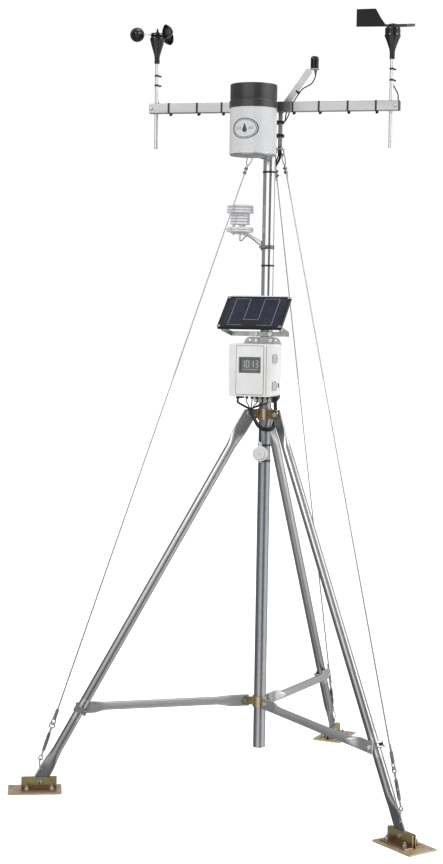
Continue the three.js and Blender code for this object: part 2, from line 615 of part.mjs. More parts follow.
function panelBracket() {
  const [left, right, z0, z1] = [PANEL.x - 100.5, PANEL.x + 104, 1545, 1561];
  const bar = box(left, right, -37, -34, z0, z1);
  const arms = [left, right - 3].map((x) => {
    const outline = [[-34, z0], [-34, z1], [hingeY, hingeZ + 8.8], [hingeY, hingeZ - 8.8]];
    const web = plateXZ(outline, x, x + 3).rotateZ(Math.PI / 2).scale(-1, 1, 1);
    return join(web, rod(9, at(x, hingeY, hingeZ), at(x + 3, hingeY, hingeZ), 16));
  });
  const pins = [[left + 1, left + 8], [right - 1, right - 8]].map(([x0, x1]) =>
    rod(PIN_R, at(x0, hingeY, hingeZ), at(x1, hingeY, hingeZ), 12));
  const saddle = box(-14, 14, -35, -15, z0, z1);
  const clamp = uBolt((z0 + z1) / 2, -46, -37, 3.2);
  return cut(join(bar, ...arms, ...pins, saddle, clamp), mastKeepOut(z0 - 20, z1 + 20));
}
piece('panel_bracket', panelBracket(), 'brightSteel', facing);

// ---------------------------------------------------------------- enclosure
function mountingPlate() {
  const corner = 24;
  const outline = [[-71, 1341], [-32, 1341], [-32, 1322], [32, 1322], [32, 1341], [60, 1341]];
  for (const [x, from] of [[60 - corner, 0], [-71 + corner, 90]]) {
    for (let step = 0; step <= 4; step += 1) {
      const angle = radians(from + step * 22.5);
      outline.push([x + corner * Math.cos(angle), 1543 - corner + corner * Math.sin(angle)]);
    }
  }
  const plate = plateXZ(outline, -27, -24);
  const saddles = [1324, 1524].map((z) => box(-14, 14, -25, -15, z, z + 14));
  const clamps = [1331, 1531].map((z) => uBolt(z, -37, -27, 3.2));
  return cut(join(plate, ...saddles, ...clamps), mastKeepOut(1300, 1560));
}
piece('mounting_plate', mountingPlate(), 'aluminium', facing);

function knuckle(z0, z1, radius = HINGE.r) {
  return rod(radius, at(HINGE.x, HINGE.y, z0), at(HINGE.x, HINGE.y, z1), 12);
}

const GLANDS = [-40, -22, -4, 14, 32];
const BIG_GLAND = { x: -68, y: -90 };
const GLAND_Y = -80;
const GLAND_Z = 1334;

function enclosureCase() {
  const { left, right, back, split, bottom, top } = CASE;
  const shell = cut(box(left, right, split, back, bottom, top),
    box(left + SHELL, right - SHELL, split - 1, back - SHELL, bottom + SHELL, top - SHELL));
  const glands = GLANDS.map((x) => rod(6, at(x, GLAND_Y, GLAND_Z), at(x, GLAND_Y, bottom + 1), 10));
  glands.push(rod(8, at(BIG_GLAND.x, BIG_GLAND.y, GLAND_Z), at(BIG_GLAND.x, BIG_GLAND.y, bottom + 1), 10));
  const bosses = [[-60, 1370], [50, 1370], [-60, 1500], [50, 1500]].map(([x, z]) =>
    rod(6, at(x, back - 1, z), at(x, -27 - GAP, z), 10));
  const hinges = HINGE_SPANS.flatMap(([z0, z1]) => [
    knuckle(z0, z0 + 14), knuckle(z1 - 14, z1), knuckle(z0 + 1, z1 - 1, HINGE.pin),
    box(HINGE.x, left + 1, split + GAP, split + 4, z0, z0 + 14),
    box(HINGE.x, left + 1, split + GAP, split + 4, z1 - 14, z1),
  ]);
  return join(shell, ...glands, ...bosses, ...hinges);
}
piece('enclosure_case', enclosureCase(), 'ivoryPlastic', facing);

function enclosureDoor() {
  const { left, right, split, front, bottom, top } = CASE;
  const back = split - GAP;
  const lid = box(left, right, front, back, bottom, top);
  const raised = box(-59, 34, front - 1.5, front + 1, bottom + 7, top - 7);
  const room = box(left + SHELL, right - SHELL, front + SHELL, back + 1, bottom + SHELL, top - SHELL);
  const view = box(WINDOW.left, WINDOW.right, front - 5, front + 5, WINDOW.bottom, WINDOW.top);
  const hinges = HINGE_SPANS.map(([z0, z1]) => {
    const [low, high] = [z0 + 14 + GAP, z1 - 14 - GAP];
    const leaf = join(knuckle(low, high), box(HINGE.x, left + 1, back - 4, back - 0.1, low, high));
    return cut(leaf, knuckle(low - 1, high + 1, HINGE.pin + 0.5));
  });
  const latchLugs = Object.values(LATCH_SPANS).flatMap(([z0, z1]) => [
    box(right - 1, 67.5, LATCH.y - 4, LATCH.y + 4, z0 - 5, z0 - GAP),
    box(right - 1, 67.5, LATCH.y - 4, LATCH.y + 4, z1 + GAP, z1 + 5),
    rod(1.5, at(LATCH.x, LATCH.y, z0 - 2), at(LATCH.x, LATCH.y, z1 + 2), 10),
  ]);
  return join(cut(join(lid, raised), room, view), ...hinges, ...latchLugs);
}
piece('enclosure_door', enclosureDoor(), 'ivoryPlastic', facing);

for (const [which, [z0, z1]] of Object.entries(LATCH_SPANS)) {
  const lever = box(LATCH.x - LATCH.r, LATCH.x + LATCH.r, LATCH.y, -86, z0, z1);
  const barrel = rod(LATCH.r, at(LATCH.x, LATCH.y, z0), at(LATCH.x, LATCH.y, z1), 16);
  const bore = rod(1.9, at(LATCH.x, LATCH.y, z0 - 1), at(LATCH.x, LATCH.y, z1 + 1), 12);
  piece(`latch_${which}`, cut(join(lever, barrel), bore), 'ivoryPlastic', facing);
}

function loggerModule() {
  const board = box(-60, 40, -100, -60, 1400, 1508);
  const display = box(WINDOW.left + 1, WINDOW.right - 1, -135.5, -99, WINDOW.bottom + 1, WINDOW.top - 1);
  const legs = [[-52, 1408], [32, 1408], [-52, 1500], [32, 1500]].map(([x, z]) =>
    rod(3, at(x, -61, z), at(x, CASE.back - SHELL - GAP, z), 8));
  return join(board, display, ...legs);
}
piece('logger_module', loggerModule(), 'board', facing);
piece('battery_pack', box(-60, 40, -72, -38, CASE.bottom + SHELL + GAP, 1389), 'blackPlastic', facing);

// ---------------------------------------------------------------- round sensor under the apex
function mastSensor() {
  const puck = join(rod(26, at(-4, -29, 1149), at(-4, -42, 1149), 20), rod(20, at(-4, -41, 1149), at(-4, -46, 1149), 20));
  const saddle = box(-12, 8, -30, -15, 1134, 1164);
  const neck = rod(5, at(-4, -36, 1172), at(-4, -36, 1190), 10);
  return cut(join(puck, saddle, neck), mastKeepOut(1100, 1200));
}
piece('mast_sensor', mastSensor(), 'ivoryPlastic', facing);

// ---------------------------------------------------------------- cables
const turnFacing = new THREE.Matrix4().makeRotationZ(radians(FACING));
const inFacing = (x, y, z) => at(x, y, z).applyMatrix4(turnFacing);
const gather = at(-36, -62, 1298);   // where the leads come together under the enclosure

function cableHarness() {
  const loopUnderApex = [gather, at(-27, -58, 1275), at(-14, -53, 1250), at(2, -45, 1236), at(15, -33, 1231),
    at(24.5, -18.2, 1231), at(30, -3, 1239), at(33.5, 10, 1256), at(33, 20, 1285), at(30, 23.5, 1318)];
  // Behind the enclosure the bundle goes round to the back of the mast, outside the U-bolts.
  const roundTheBack = [at(BUNDLE_X, BUNDLE_Y, 1345), at(26, 28, 1400), at(16, 34, 1460), at(0, 37.5, 1515),
    at(-5, 37.2, 1550), at(-8.5, 33, 1592), at(-8.7, 28.2, 1640)];
  const upTheMast = [1700, 1850, 2000, 2060].map((z) => at(-8.7, 26.9, z));
  const pastTheGuyRing = [at(-4, 29, 2090), at(10, 33, 2118), at(24, 27.5, 2142),
    ...[2160, 2200, BUNDLE_TOP].map((z) => at(BUNDLE_X, BUNDLE_Y, z))];
  const bundle = cable([...loopUnderApex, ...roundTheBack, ...upTheMast, ...pastTheGuyRing], BUNDLE_R, 50, 8);
  const leads = GLANDS.map((x) => cable([
    inFacing(x, GLAND_Y, GLAND_Z - GAP), inFacing(x, GLAND_Y, GLAND_Z - 9), inFacing((x - 30) / 2, -72, 1314), gather,
    at(-31, -60, 1286),
  ], CABLE_R, 8, 6));
  const supply = cable([
    inFacing(BIG_GLAND.x, BIG_GLAND.y, GLAND_Z - GAP), inFacing(BIG_GLAND.x, BIG_GLAND.y, GLAND_Z - 9),
    inFacing(-52, -78, 1314), gather, at(-29, -59, 1281),
  ], 4, 12);
  const sensorLead = cable([at(0, -47, 1238), at(-5, -46, 1224), at(-7, -40, 1206),
    inFacing(-4, -36, 1196), inFacing(-4, -36, 1190 + GAP)], CABLE_R, 8, 6);
  const probeLead = cable([at(SHIELD.x, 0, 1872 - GAP), at(SHIELD.x, 0, 1867), at(SHIELD.x + 3, 0, 1860), at(-86, 0, 1858), at(-73, 2, 1868),
    at(-58, 8, 1868), at(-44, 13, 1861), at(-33, 23, 1855), at(-22, 31, 1847), at(-12, 31, 1838)],
  CABLE_R, 16, 6);
  return join(bundle, ...leads, supply, sensorLead, probeLead);
}
piece('cable_harness', cableHarness(), 'cable');

const BEHIND_ARM = -17.6;        // cables lie along the back of the crossarm
const BEHIND_ROD = ARM_Y + SENSOR_ROD_R + CABLE_R + 1.2;

piece('anemometer_cable', cable([
  at(SPEED_X, BEHIND_ROD, HOUSING_BOTTOM - 0.5), at(SPEED_X, BEHIND_ROD, 2400),
  at(SPEED_X, BEHIND_ROD, 2352), at(-385.4, -24.5, 2336), at(-383, -16.5, 2324),
  at(-374, -15.6, 2311), at(-352, BEHIND_ARM, ARM_Z), at(-200, BEHIND_ARM, ARM_Z), at(-80, BEHIND_ARM, ARM_Z),
  at(-52, -13, 2300), at(-40, 4, 2290), at(-26, 29, 2279), at(0, 39, 2271), at(16, 34, 2264),
  at(24.2, 25, 2261), at(24.2, 22.5, BUNDLE_TOP + 3), at(24.2, 22.5, BUNDLE_TOP + 0.4),
], CABLE_R, 48, 6), 'cable');

piece('vane_cable', cable([
  at(DIRECTION_X, BEHIND_ROD, HOUSING_BOTTOM - 0.5), at(DIRECTION_X, BEHIND_ROD, 2400),
  at(412, BEHIND_ROD, 2380), at(420, -29, 2363), at(429, -28, 2347), at(431, -23, 2333),
  at(428, -15.5, 2323), at(419, -15.6, 2311), at(396, BEHIND_ARM, ARM_Z), at(200, BEHIND_ARM, ARM_Z),
  at(78, BEHIND_ARM, ARM_Z), at(62, -17, 2296), at(54, -9, 2280), at(50, 5, 2268), at(42, 14, 2260),
  at(33, 20.5, BUNDLE_TOP + 3), at(33, 20.5, BUNDLE_TOP + 0.4),
], CABLE_R, 48, 6), 'cable');

piece('light_sensor_cable', cable([
  at(150, 4, LIGHT.z - 4 - GAP), at(150.5, 4, 2420), at(147, 3, 2402), at(137, 2, 2386), at(122, 0, 2377),
  at(108, 0, 2369), at(96, 0, 2354), at(80, 2, 2331), at(66, 7, 2310), at(62, 13, 2294), at(55, 20, 2280),
  at(46, 27, 2268), at(36, 31, 2260.5), at(29.7, 28.5, BUNDLE_TOP + 3), at(29.7, 28.5, BUNDLE_TOP + 0.4),
], CABLE_R, 36, 6), 'cable');

// ---------------------------------------------------------------- origin
// The whole station stands on z = 0 with the origin under the middle of its outer box.
station.updateMatrixWorld(true);
const bounds = new THREE.Box3().setFromObject(station, true);
const middle = bounds.getCenter(new THREE.Vector3());
station.position.set(-middle.x, -middle.y, -bounds.min.z);

export default station;
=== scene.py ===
"""Looks for the tripod weather station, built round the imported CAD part.

Local numbers are millimetres in the station's own frame: the mast's axis is x = y = 0, the ground is
z = 0, +X runs along the crossarm and the front is -Y.
"""
import math

import bmesh
import bpy
from mathutils import Matrix, Vector


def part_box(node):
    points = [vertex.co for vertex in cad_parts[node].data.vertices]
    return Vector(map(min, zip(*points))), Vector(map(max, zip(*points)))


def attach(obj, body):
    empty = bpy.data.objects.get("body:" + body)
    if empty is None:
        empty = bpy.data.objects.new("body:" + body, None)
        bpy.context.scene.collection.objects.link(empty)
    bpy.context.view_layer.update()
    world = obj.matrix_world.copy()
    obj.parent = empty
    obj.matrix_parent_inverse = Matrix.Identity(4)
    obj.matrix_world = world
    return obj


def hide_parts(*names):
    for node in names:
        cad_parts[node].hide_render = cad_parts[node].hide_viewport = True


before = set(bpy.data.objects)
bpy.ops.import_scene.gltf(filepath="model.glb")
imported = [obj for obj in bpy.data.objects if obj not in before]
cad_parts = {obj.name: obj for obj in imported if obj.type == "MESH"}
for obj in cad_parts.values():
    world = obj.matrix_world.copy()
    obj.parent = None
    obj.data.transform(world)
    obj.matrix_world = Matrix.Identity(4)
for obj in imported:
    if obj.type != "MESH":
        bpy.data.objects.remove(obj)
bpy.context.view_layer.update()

# ------------------------------------------------------------------ frames and dimensions
MM = 0.001
low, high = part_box("mast_lower")
STATION = Matrix.Translation(((low.x + high.x) / 2, (low.y + high.y) / 2, 0)) @ Matrix.Scale(MM, 4)


def turn(degrees, axis="Z"):
    return Matrix.Rotation(math.radians(degrees), 4, axis)


def shift(x, y, z):
    return Matrix.Translation((x, y, z))


def polar(radius, degrees):
    """A flat point at a distance and bearing."""
    a = math.radians(degrees)
    return radius * math.cos(a), radius * math.sin(a)


BEARINGS = {"left": 200, "right": -42.5, "rear": 79}
SECTORS = {side: STATION @ turn(bearing) for side, bearing in BEARINGS.items()}
AHEAD = turn(-5)                     # the enclosure and the panel look a little to the left
FACING = STATION @ AHEAD
ON_MAST, ON_FRONT, ON_DOOR = (STATION, "frame"), (FACING, "frame"), (FACING, "door")
MAST_R = 20.65
SEAT_R = 20.8                        # the hollow of a block that sits against the mast
MAST_BORE, MAST_FOOT, MAST_JOINT, MAST_TOP = 18.65, 138, 1620, 2328
APEX_R, APEX_Z = 55, 1283
FOOT_R, FOOT_Z = 750, 30
LEG_T = 8.5
HUB_R, HUB_Z = 50, 297
STRUT_T, STRUT_END_Z = -24.7, 276
ARM_Y, ARM_Z, ARM_LEFT, ARM_RIGHT = -37.2, 2305, -408, 435.6
LEG_ANGLE = math.degrees(math.atan2(FOOT_R - APEX_R, APEX_Z - FOOT_Z))
LEG_LENGTH = math.hypot(FOOT_R - APEX_R, APEX_Z - FOOT_Z)
CLAMP_ALONG = (APEX_Z - STRUT_END_Z) / math.cos(math.radians(LEG_ANGLE))
STRUT_END_R = APEX_R + (APEX_Z - STRUT_END_Z) * math.tan(math.radians(LEG_ANGLE))
STRUT_DIP = math.degrees(math.atan2(HUB_Z - STRUT_END_Z, STRUT_END_R - HUB_R))
STRUT_LENGTH = math.hypot(HUB_Z - STRUT_END_Z, STRUT_END_R - HUB_R)
GUY_TOP_R, GUY_TOP_Z, GUY_END_R, GUY_END_Z = 58, 2168, 749, 98
GUY_ANGLE = math.degrees(math.atan2(GUY_END_R - GUY_TOP_R, GUY_TOP_Z - GUY_END_Z))
SPEED_X, DIRECTION_X, ROD_R = -386, 410, 6.35
ROD_LEAD = 9.55                      # from a sensor rod's axis to the lead tied behind it
GAUGE_X, GAUGE_Y, GAUGE_R = -27, -140, 76.9
LIGHT_X, LIGHT_Z = 147, 2434.4
LIGHT_ARM = STATION @ shift(30, 0, 2285) @ turn(math.degrees(math.atan2(107, 150)), "Y")
PANEL_Y, PANEL_Z, PANEL_TILT = -157, 1576, 41
PANEL = FACING @ shift(-14, PANEL_Y, PANEL_Z) @ turn(PANEL_TILT, "X")
ON_PANEL = (PANEL, "panel")
PANEL_BAR = (1545, 1561)             # heights of the bar that holds the panel
BOLT_REACH = 25.4                    # from the mast's axis to each leg of a U-bolt
FLAT = 6                             # thickness of a pressed tube end


# ------------------------------------------------------------------ camera
def make_camera():
    """A standing person's view from the right of the front, tipped a little."""
    distance, bearing, height = 5.607, math.radians(11.985), 1.6
    heading, pitch, roll = math.radians(13.48), math.radians(-3.895), math.radians(0.944)
    axis = STATION.translation
    camera = bpy.data.objects.new("camera", bpy.data.cameras.new("camera"))
    bpy.context.scene.collection.objects.link(camera)
    ahead = Vector((-math.sin(heading) * math.cos(pitch), math.cos(heading) * math.cos(pitch), math.sin(pitch)))
    right = ahead.cross(Vector((0, 0, 1))).normalized()
    up = right.cross(ahead)
    tipped_right = math.cos(roll) * right + math.sin(roll) * up
    tipped_up = math.cos(roll) * up - math.sin(roll) * right
    basis = Matrix((tipped_right, tipped_up, -ahead)).transposed().to_4x4()
    place = Vector((distance * math.sin(bearing) + axis.x, -distance * math.cos(bearing) + axis.y, height))
    camera.matrix_world = Matrix.Translation(place) @ basis
    camera.data.sensor_width = 36
    camera.data.lens = 69.03
    camera.data.clip_start, camera.data.clip_end = 0.05, 200
    bpy.context.scene.camera = camera


make_camera()


# ------------------------------------------------------------------ materials
class Nodes:
    """A short way to add and link shader nodes."""

    def __init__(self, tree):
        self.tree = tree
        tree.nodes.clear()

    def add(self, kind, inputs=None, **settings):
        node = self.tree.nodes.new("ShaderNode" + kind)
        for key, value in settings.items():
            setattr(node, key, value)
        for key, value in (inputs or {}).items():
            if isinstance(value, bpy.types.NodeSocket):
                self.tree.links.new(value, node.inputs[key])
            else:
                node.inputs[key].default_value = value
        return node

    def ramp(self, factor, stops):
        node = self.add("ValToRGB", {0: factor})
        elements = node.color_ramp.elements
        elements.remove(elements[1])
        elements[0].position = stops[0][0]
        elements[0].color = (*stops[0][1], 1)
        for position, colour in stops[1:]:
            elements.new(position).color = (*colour, 1)
        return node.outputs[0]

    def noise(self, vector, scale, detail=4.0, roughness=0.55):
        return self.add("TexNoise", {"Vector": vector, "Scale": scale, "Detail": detail,
                                     "Roughness": roughness})


def look(name, slot, tones, scale=30, rough=(0.3, 0.45), metallic=0.0, coat=0.0, stretch=(1, 1, 1), spangle=0.0,
         bump=0.1, bump_scale=400, bump_depth=0.0003, wear=None, dust=None, spread=(0.3, 0.7), specular=0.5,
         fade=None, painted_glow=0.0):
    """A procedural finish: mottled colour, uneven gloss, fine relief, worn edges and dust, a blend to a second
    colour along the object's own z, and an optional painted glow of emission that stands in for light.
    """
    material = bpy.data.materials.new(name)
    material.use_nodes = True
    n = Nodes(material.node_tree)
    place = n.add("TexCoord").outputs["Object"]
    stretched = n.add("Mapping", {"Vector": place, "Scale": stretch}).outputs[0]
    mottle = n.noise(stretched, scale).outputs[0]
    steps = [(spread[0] + (spread[1] - spread[0]) * i / max(len(tones) - 1, 1), tone)
             for i, tone in enumerate(tones)]
    colour = n.ramp(mottle, steps)
    if spangle:
        cells = n.add("TexVoronoi", {"Vector": place, "Scale": 130.0})
        tint = n.ramp(cells.outputs["Color"], [(0.0, (1 - spangle,) * 3), (1.0, (1 + spangle * 0.4,) * 3)])
        mix = n.add("Mix", {"Factor": 1.0, 6: colour, 7: tint}, data_type="RGBA", blend_type="MULTIPLY")
        colour = mix.outputs[2]
    if fade:
        upright = n.add("SeparateXYZ", {0: place}).outputs[2]
        wavy = n.add("Math", {0: n.noise(place, 30.0).outputs[0], 1: 0.012, 2: upright},
                     operation="MULTIPLY_ADD")
        part = n.add("MapRange", {"Value": wavy.outputs[0], 1: fade[0], 2: fade[1], 3: fade[3],
                                  4: 0.0}).outputs[0]
        mix = n.add("Mix", {"Factor": part, 6: colour, 7: (*fade[2], 1)}, data_type="RGBA")
        colour = mix.outputs[2]
    if dust:
        patches = n.ramp(n.noise(place, 9.0, 6.0).outputs[0], [(0.5, (0, 0, 0)), (0.78, (dust[1],) * 3)])
        mix = n.add("Mix", {"Factor": patches, 6: colour, 7: (*dust[0], 1)}, data_type="RGBA")
        colour = mix.outputs[2]
    if wear:
        edges = n.ramp(n.add("NewGeometry").outputs["Pointiness"], [(0.52, (0, 0, 0)), (0.6, (wear[1],) * 3)])
        mix = n.add("Mix", {"Factor": edges, 6: colour, 7: (*wear[0], 1)}, data_type="RGBA")
        colour = mix.outputs[2]
    uneven = n.noise(stretched, scale * 2.3).outputs[0]
    roughness = n.add("MapRange", {"Value": uneven, 1: 0.25, 2: 0.75, 3: rough[0], 4: rough[1]}).outputs[0]
    relief = n.noise(stretched, bump_scale, 3.0).outputs[0]
    normal = n.add("Bump", {"Strength": bump, "Distance": bump_depth, "Height": relief}).outputs[0]
    shader = n.add("BsdfPrincipled", {"Base Color": colour, "Roughness": roughness, "Normal": normal,
        "Metallic": metallic, "Coat Weight": coat, "Coat Roughness": 0.08, "Specular IOR Level": specular,
        "Emission Color": (1, 1, 1, 1), "Emission Strength": painted_glow})
    n.add("OutputMaterial", {"Surface": shader.outputs[0]})
    material["slot"] = slot
    return material


def greys(*levels, step=.005):
    """Tones that are almost neutral, and a little cool."""
    return [(v, v + step, v + 2 * step) for v in levels]


def solar_look():
    """Dark blue-black cells with fine upright fingers under glass."""
    material = bpy.data.materials.new("solar_cells")
    material.use_nodes = True
    n = Nodes(material.node_tree)
    place = n.add("TexCoord").outputs["Object"]
    crystals = n.add("TexVoronoi", {"Vector": place, "Scale": 90.0}).outputs["Color"]
    base = n.ramp(crystals, [(0.1, (0.010, 0.012, 0.024)), (0.9, (0.018, 0.021, 0.038))])
    fingers = n.add("TexWave", {"Vector": place, "Scale": 150.0, "Distortion": 0.0}, bands_direction="X")
    mask = n.ramp(fingers.outputs[0], [(0.86, (0, 0, 0)), (0.97, (0.3, 0.3, 0.3))])
    mix = n.add("Mix", {"Factor": mask, 6: base, 7: (0.07, 0.08, 0.12, 1)}, data_type="RGBA")
    film = n.add("MapRange", {"Value": n.noise(place, 14.0).outputs[0], 1: 0.3, 2: 0.7, 3: 0.22,
                              4: 0.34}).outputs[0]
    shader = n.add("BsdfPrincipled", {"Base Color": mix.outputs[2], "Roughness": film,
                                      "Specular IOR Level": 0.3, "Coat Weight": 0.1, "Coat Roughness": 0.1})
    n.add("OutputMaterial", {"Surface": shader.outputs[0]})
    material["slot"] = "solar_cells"
    return material


GALVANISED = look("galvanised", "galvanised", greys(.29, .36, .43), 20,
                  (.32, .44), 1.0, spangle=.10, stretch=(1, 1, .06), bump=.05, dust=((.30, .30, .29), .2))
POLISHED = look("galvanised_bright", "galvanised", greys(.6, .66, .72, step=.01), 20,
                (.10, .17), 1.0, spangle=.04, stretch=(1, 1, .05), bump=.04, dust=((.50, .50, .49), .15))
DULL_STEEL = look("dull_steel", "dull_steel", greys(.24, .29, .35, step=.01), 20,
                  (.32, .44), 1.0, spangle=.12, stretch=(1, 1, .06), bump=.06, dust=((.2, .2, .19), .25))
ZINC = look("zinc", "zinc",
            [(.25, .24, .07), (.34, .31, .10), (.36, .27, .10), (.24, .25, .09), (.38, .36, .16)],
            19, (.24, .40), .9, bump=.15, wear=((.5, .46, .36), .5), dust=((.2, .15, .08), .3),
            fade=(.024, .030, (.26, .13, .06), 1.0))
COPPER_ZINC = look("zinc_coppery", "zinc",
                   [(.10, .08, .035), (.26, .12, .06), (.22, .17, .06), (.30, .14, .08), (.13, .09, .06)],
                   34, (.22, .38), .9, bump=.15, wear=((.6, .5, .4), .6), dust=((.12, .08, .05), .5))
LEG_GREY = look("galvanised_leg", "galvanised", greys(.34, .41, .48), 20,
                (.30, .42), 1.0, spangle=.12, stretch=(1, 1, .06), bump=.06, dust=((.28, .28, .27), .25),
                fade=(1.1, .25, (.17, .174, .178), .8))
STRUT_GREY = look("galvanised_pale", "galvanised", greys(.36, .44, .52), 20,
                  (.34, .48), .85, spangle=.08, stretch=(1, 1, .06), bump=.08, dust=((.42, .42, .42), .3))
BASE_ZINC = look("zinc_base", "zinc", [(.42, .31, .24), (.52, .41, .32), (.40, .36, .20), (.48, .34, .30)], 15,
                 (.34, .5), .7, bump=.15, wear=((.6, .55, .46), .5), dust=((.3, .25, .17), .5))
ALUMINIUM = look("aluminium", "aluminium", greys(.34, .39, .43), 26,
                 (.34, .44), 1.0, stretch=(.08, 1, 1), bump=.12, bump_scale=700, dust=((.45, .45, .45), .2))
SATIN = look("aluminium_satin", "aluminium", greys(.58, .64), 30, (.36, .46), .25, bump=.08,
             dust=((.45, .45, .45), .2))
BRIGHT = look("bright_steel", "bright_steel", [(.55, .55, .56), (.66, .67, .68), (.74, .75, .76)], 60,
              (.16, .30), 1.0, bump=.08, dust=((.35, .34, .32), .3))
# A dark metal used only as the painted shadow of the gauge on the crossarm.
PAINTED_SHADOW_METAL = look("painted_shadow_metal", "dull_steel", [(.10, .10, .105), (.14, .14, .145), (.18, .18, .185)], 30,
                  (.4, .55), .6, bump=.1, dust=((.2, .2, .2), .2))
ROD = look("sensor_rod", "bright_steel", greys(.66, .72, step=.01), 30, (.28, .36), .8, stretch=(1, 1, .05),
           bump=.05)
WEATHERED = look("weathered_steel", "bright_steel", greys(.16, .23, .3), 80,
                 (.26, .42), 1.0, bump=.15, wear=((.6, .6, .6), .5))
WIRE = look("wire_rope", "bright_steel", greys(.42, .5), 300, (.45, .6), .3, bump=.3, bump_scale=900,
            stretch=(1, 1, .4), fade=(1.75, .75, (.17, .172, .175), 1.0))
FITTING = look("dark_fitting", "bright_steel", [(.07, .072, .075), (.11, .112, .115), (.17, .172, .175)], 80,
               (.28, .42), .7, bump=.12, wear=((.4, .4, .4), .4))
FIN = look("black_satin", "black_plastic", [(.003, .003, .0034), (.006, .006, .0065)], 34, (.3, .4), bump=.05,
           wear=((.04, .04, .04), .3), dust=((.012, .012, .012), .15), specular=.15)
BLACK = look("black_gloss", "black_plastic", [(.0035, .0035, .004), (.006, .006, .0065), (.010, .010, .011)],
             34, (.12, .24), bump=.05, wear=((.05, .05, .05), .3), dust=((.03, .03, .03), .15), specular=.4)
COLLAR = look("dark_collar", "dark_collar", [(.020, .0175, .018), (.028, .025, .0255), (.036, .032, .032)], 24,
              (.26, .36), bump=.08, wear=((.10, .09, .09), .4), dust=((.07, .065, .065), .2))
WHITE = look("white_paint", "white_paint", [(.58, .59, .605), (.63, .64, .65), (.66, .67, .675)], 10,
             (.2, .3), coat=.2, bump=.04, wear=((.5, .5, .5), .3), dust=((.58, .57, .55), .2))
IVORY = look("ivory_plastic", "ivory_plastic", [(.72, .72, .705), (.765, .765, .755), (.80, .80, .79)], 12,
             (.38, .5), bump=.14, bump_scale=1500, wear=((.88, .88, .86), .3), dust=((.62, .6, .56), .2))
# The shield's plastic has painted light: a faint glow that lifts the shade under and between its plates.
SHIELD = look("shield_plastic", "shield_plastic", [(.46, .475, .50), (.52, .53, .55), (.56, .565, .58)], 14,
              (.42, .56), bump=.1, dust=((.5, .5, .5), .2), painted_glow=.12)
LABEL = look("label", "white_paint", [(.60, .61, .62), (.67, .675, .68)], 20, (.4, .5), bump=.05)
LABEL_INK = look("label_ink", "dark_collar", [(.02, .023, .032), (.035, .038, .05)], 40, (.45, .55), bump=.05)
FRAME_BLACK = look("panel_frame", "solar_cells", [(.004, .004, .005), (.008, .008, .009)], 40, (.32, .42),
                   bump=.06, wear=((.03, .03, .03), .4), dust=((.03, .03, .03), .15), specular=.3)
# Dark grey for the case's seal, also used as painted shade behind the latches and round the door panel.
SEAL_AND_SHADE = look("plastic_seal_and_painted_shade", "ivory_plastic", [(.20, .20, .197), (.25, .25, .247)], 40, (.5, .6), bump=.05)
HINGE = look("plastic_hinge", "ivory_plastic", [(.50, .50, .49), (.56, .56, .55)], 30, (.4, .5), bump=.1)
SILVER_INK = look("silver_ink", "bright_steel", [(.20, .21, .24), (.28, .29, .33)], 120, (.4, .5), .3, bump=.05)
CELLS = solar_look()
CABLE = look("cable", "cable", greys(.006, .012, step=0), 60, (.36, .5), bump=.12,
             dust=((.05, .048, .045), .3), specular=.35)
GREY_LEAD = look("cable_grey", "cable", greys(.28, .36), 60, (.4, .55), bump=.12)
TIE = look("tie", "cable", greys(.005, .01, step=0), 90, (.3, .42), bump=.2, bump_scale=1200)
GREY_BOSS = look("grey_plastic", "cable", greys(.1, .15), 60, (.4, .5), bump=.1)
BEZEL = look("display_bezel", "logger", greys(.09, .12), 40, (.3, .4), bump=.04)
GLASS = look("display_glass", "logger", [(.085, .092, .095), (.11, .118, .12)], 20, (.12, .2), bump=.02)
DIGIT = look("display_digit", "logger", [(.30, .32, .32), (.37, .39, .39)], 60, (.3, .4), bump=.02)
BOARD = look("circuit_board", "logger", [(.02, .09, .05), (.03, .13, .08), (.03, .15, .09)], 60, (.3, .45),
             coat=.3, bump=.4, bump_scale=250)
WHITE_PLASTIC = look("white_plastic", "white_plastic", [(.70, .70, .69), (.76, .76, .75)], 20, (.35, .5),
                     bump=.06)


# ------------------------------------------------------------------ mesh building
def circle(radius, sides):
    """Points on a circle about the origin."""
    steps = [2 * math.pi * i / sides for i in range(sides)]
    return [(radius * math.cos(a), radius * math.sin(a)) for a in steps]


def bow(x, y, radius, start, sweep, steps):
    """Points on an arc of a flat outline, in degrees."""
    return [(x + dx, y + dy) for dx, dy in (polar(radius, start + sweep * i / steps) for i in range(steps + 1))]


def rounded(x0, x1, z0, z1, radius, steps=6):
    """The outline of a rectangle with round corners."""
    corners = ((x1 - radius, z1 - radius, 0), (x0 + radius, z1 - radius, 90),
               (x0 + radius, z0 + radius, 180), (x1 - radius, z0 + radius, 270))
    return [p for cx, cz, a in corners for p in bow(cx, cz, radius, a, 90, steps)]


def smooth_path(points, steps=8):
    """A Catmull-Rom curve through the points."""
    pts = [Vector(p) for p in points]
    ends = [2 * pts[0] - pts[1], *pts, 2 * pts[-1] - pts[-2]]
    path = []
    for i in range(len(pts) - 1):
        a, b, c, d = ends[i:i + 4]
        for j in range(steps):
            t = j / steps
            path.append(0.5 * (2 * b + (c - a) * t + (2 * a - 5 * b + 4 * c - d) * t * t
                               + (3 * b - a - 3 * c + d) * t ** 3))
    return [*path, pts[-1]]


def arc(centre, radius, start, sweep, plane="XZ", steps=16):
    """Points on an arc, its angle measured from the plane's first axis."""
    u, v = {"XY": ((1, 0, 0), (0, 1, 0)), "XZ": ((1, 0, 0), (0, 0, 1)), "YZ": ((0, 1, 0), (0, 0, 1))}[plane]
    points = []
    for i in range(steps + 1):
        a = math.radians(start + sweep * i / steps)
        points.append(Vector(centre) + radius * (math.cos(a) * Vector(u) + math.sin(a) * Vector(v)))
    return points


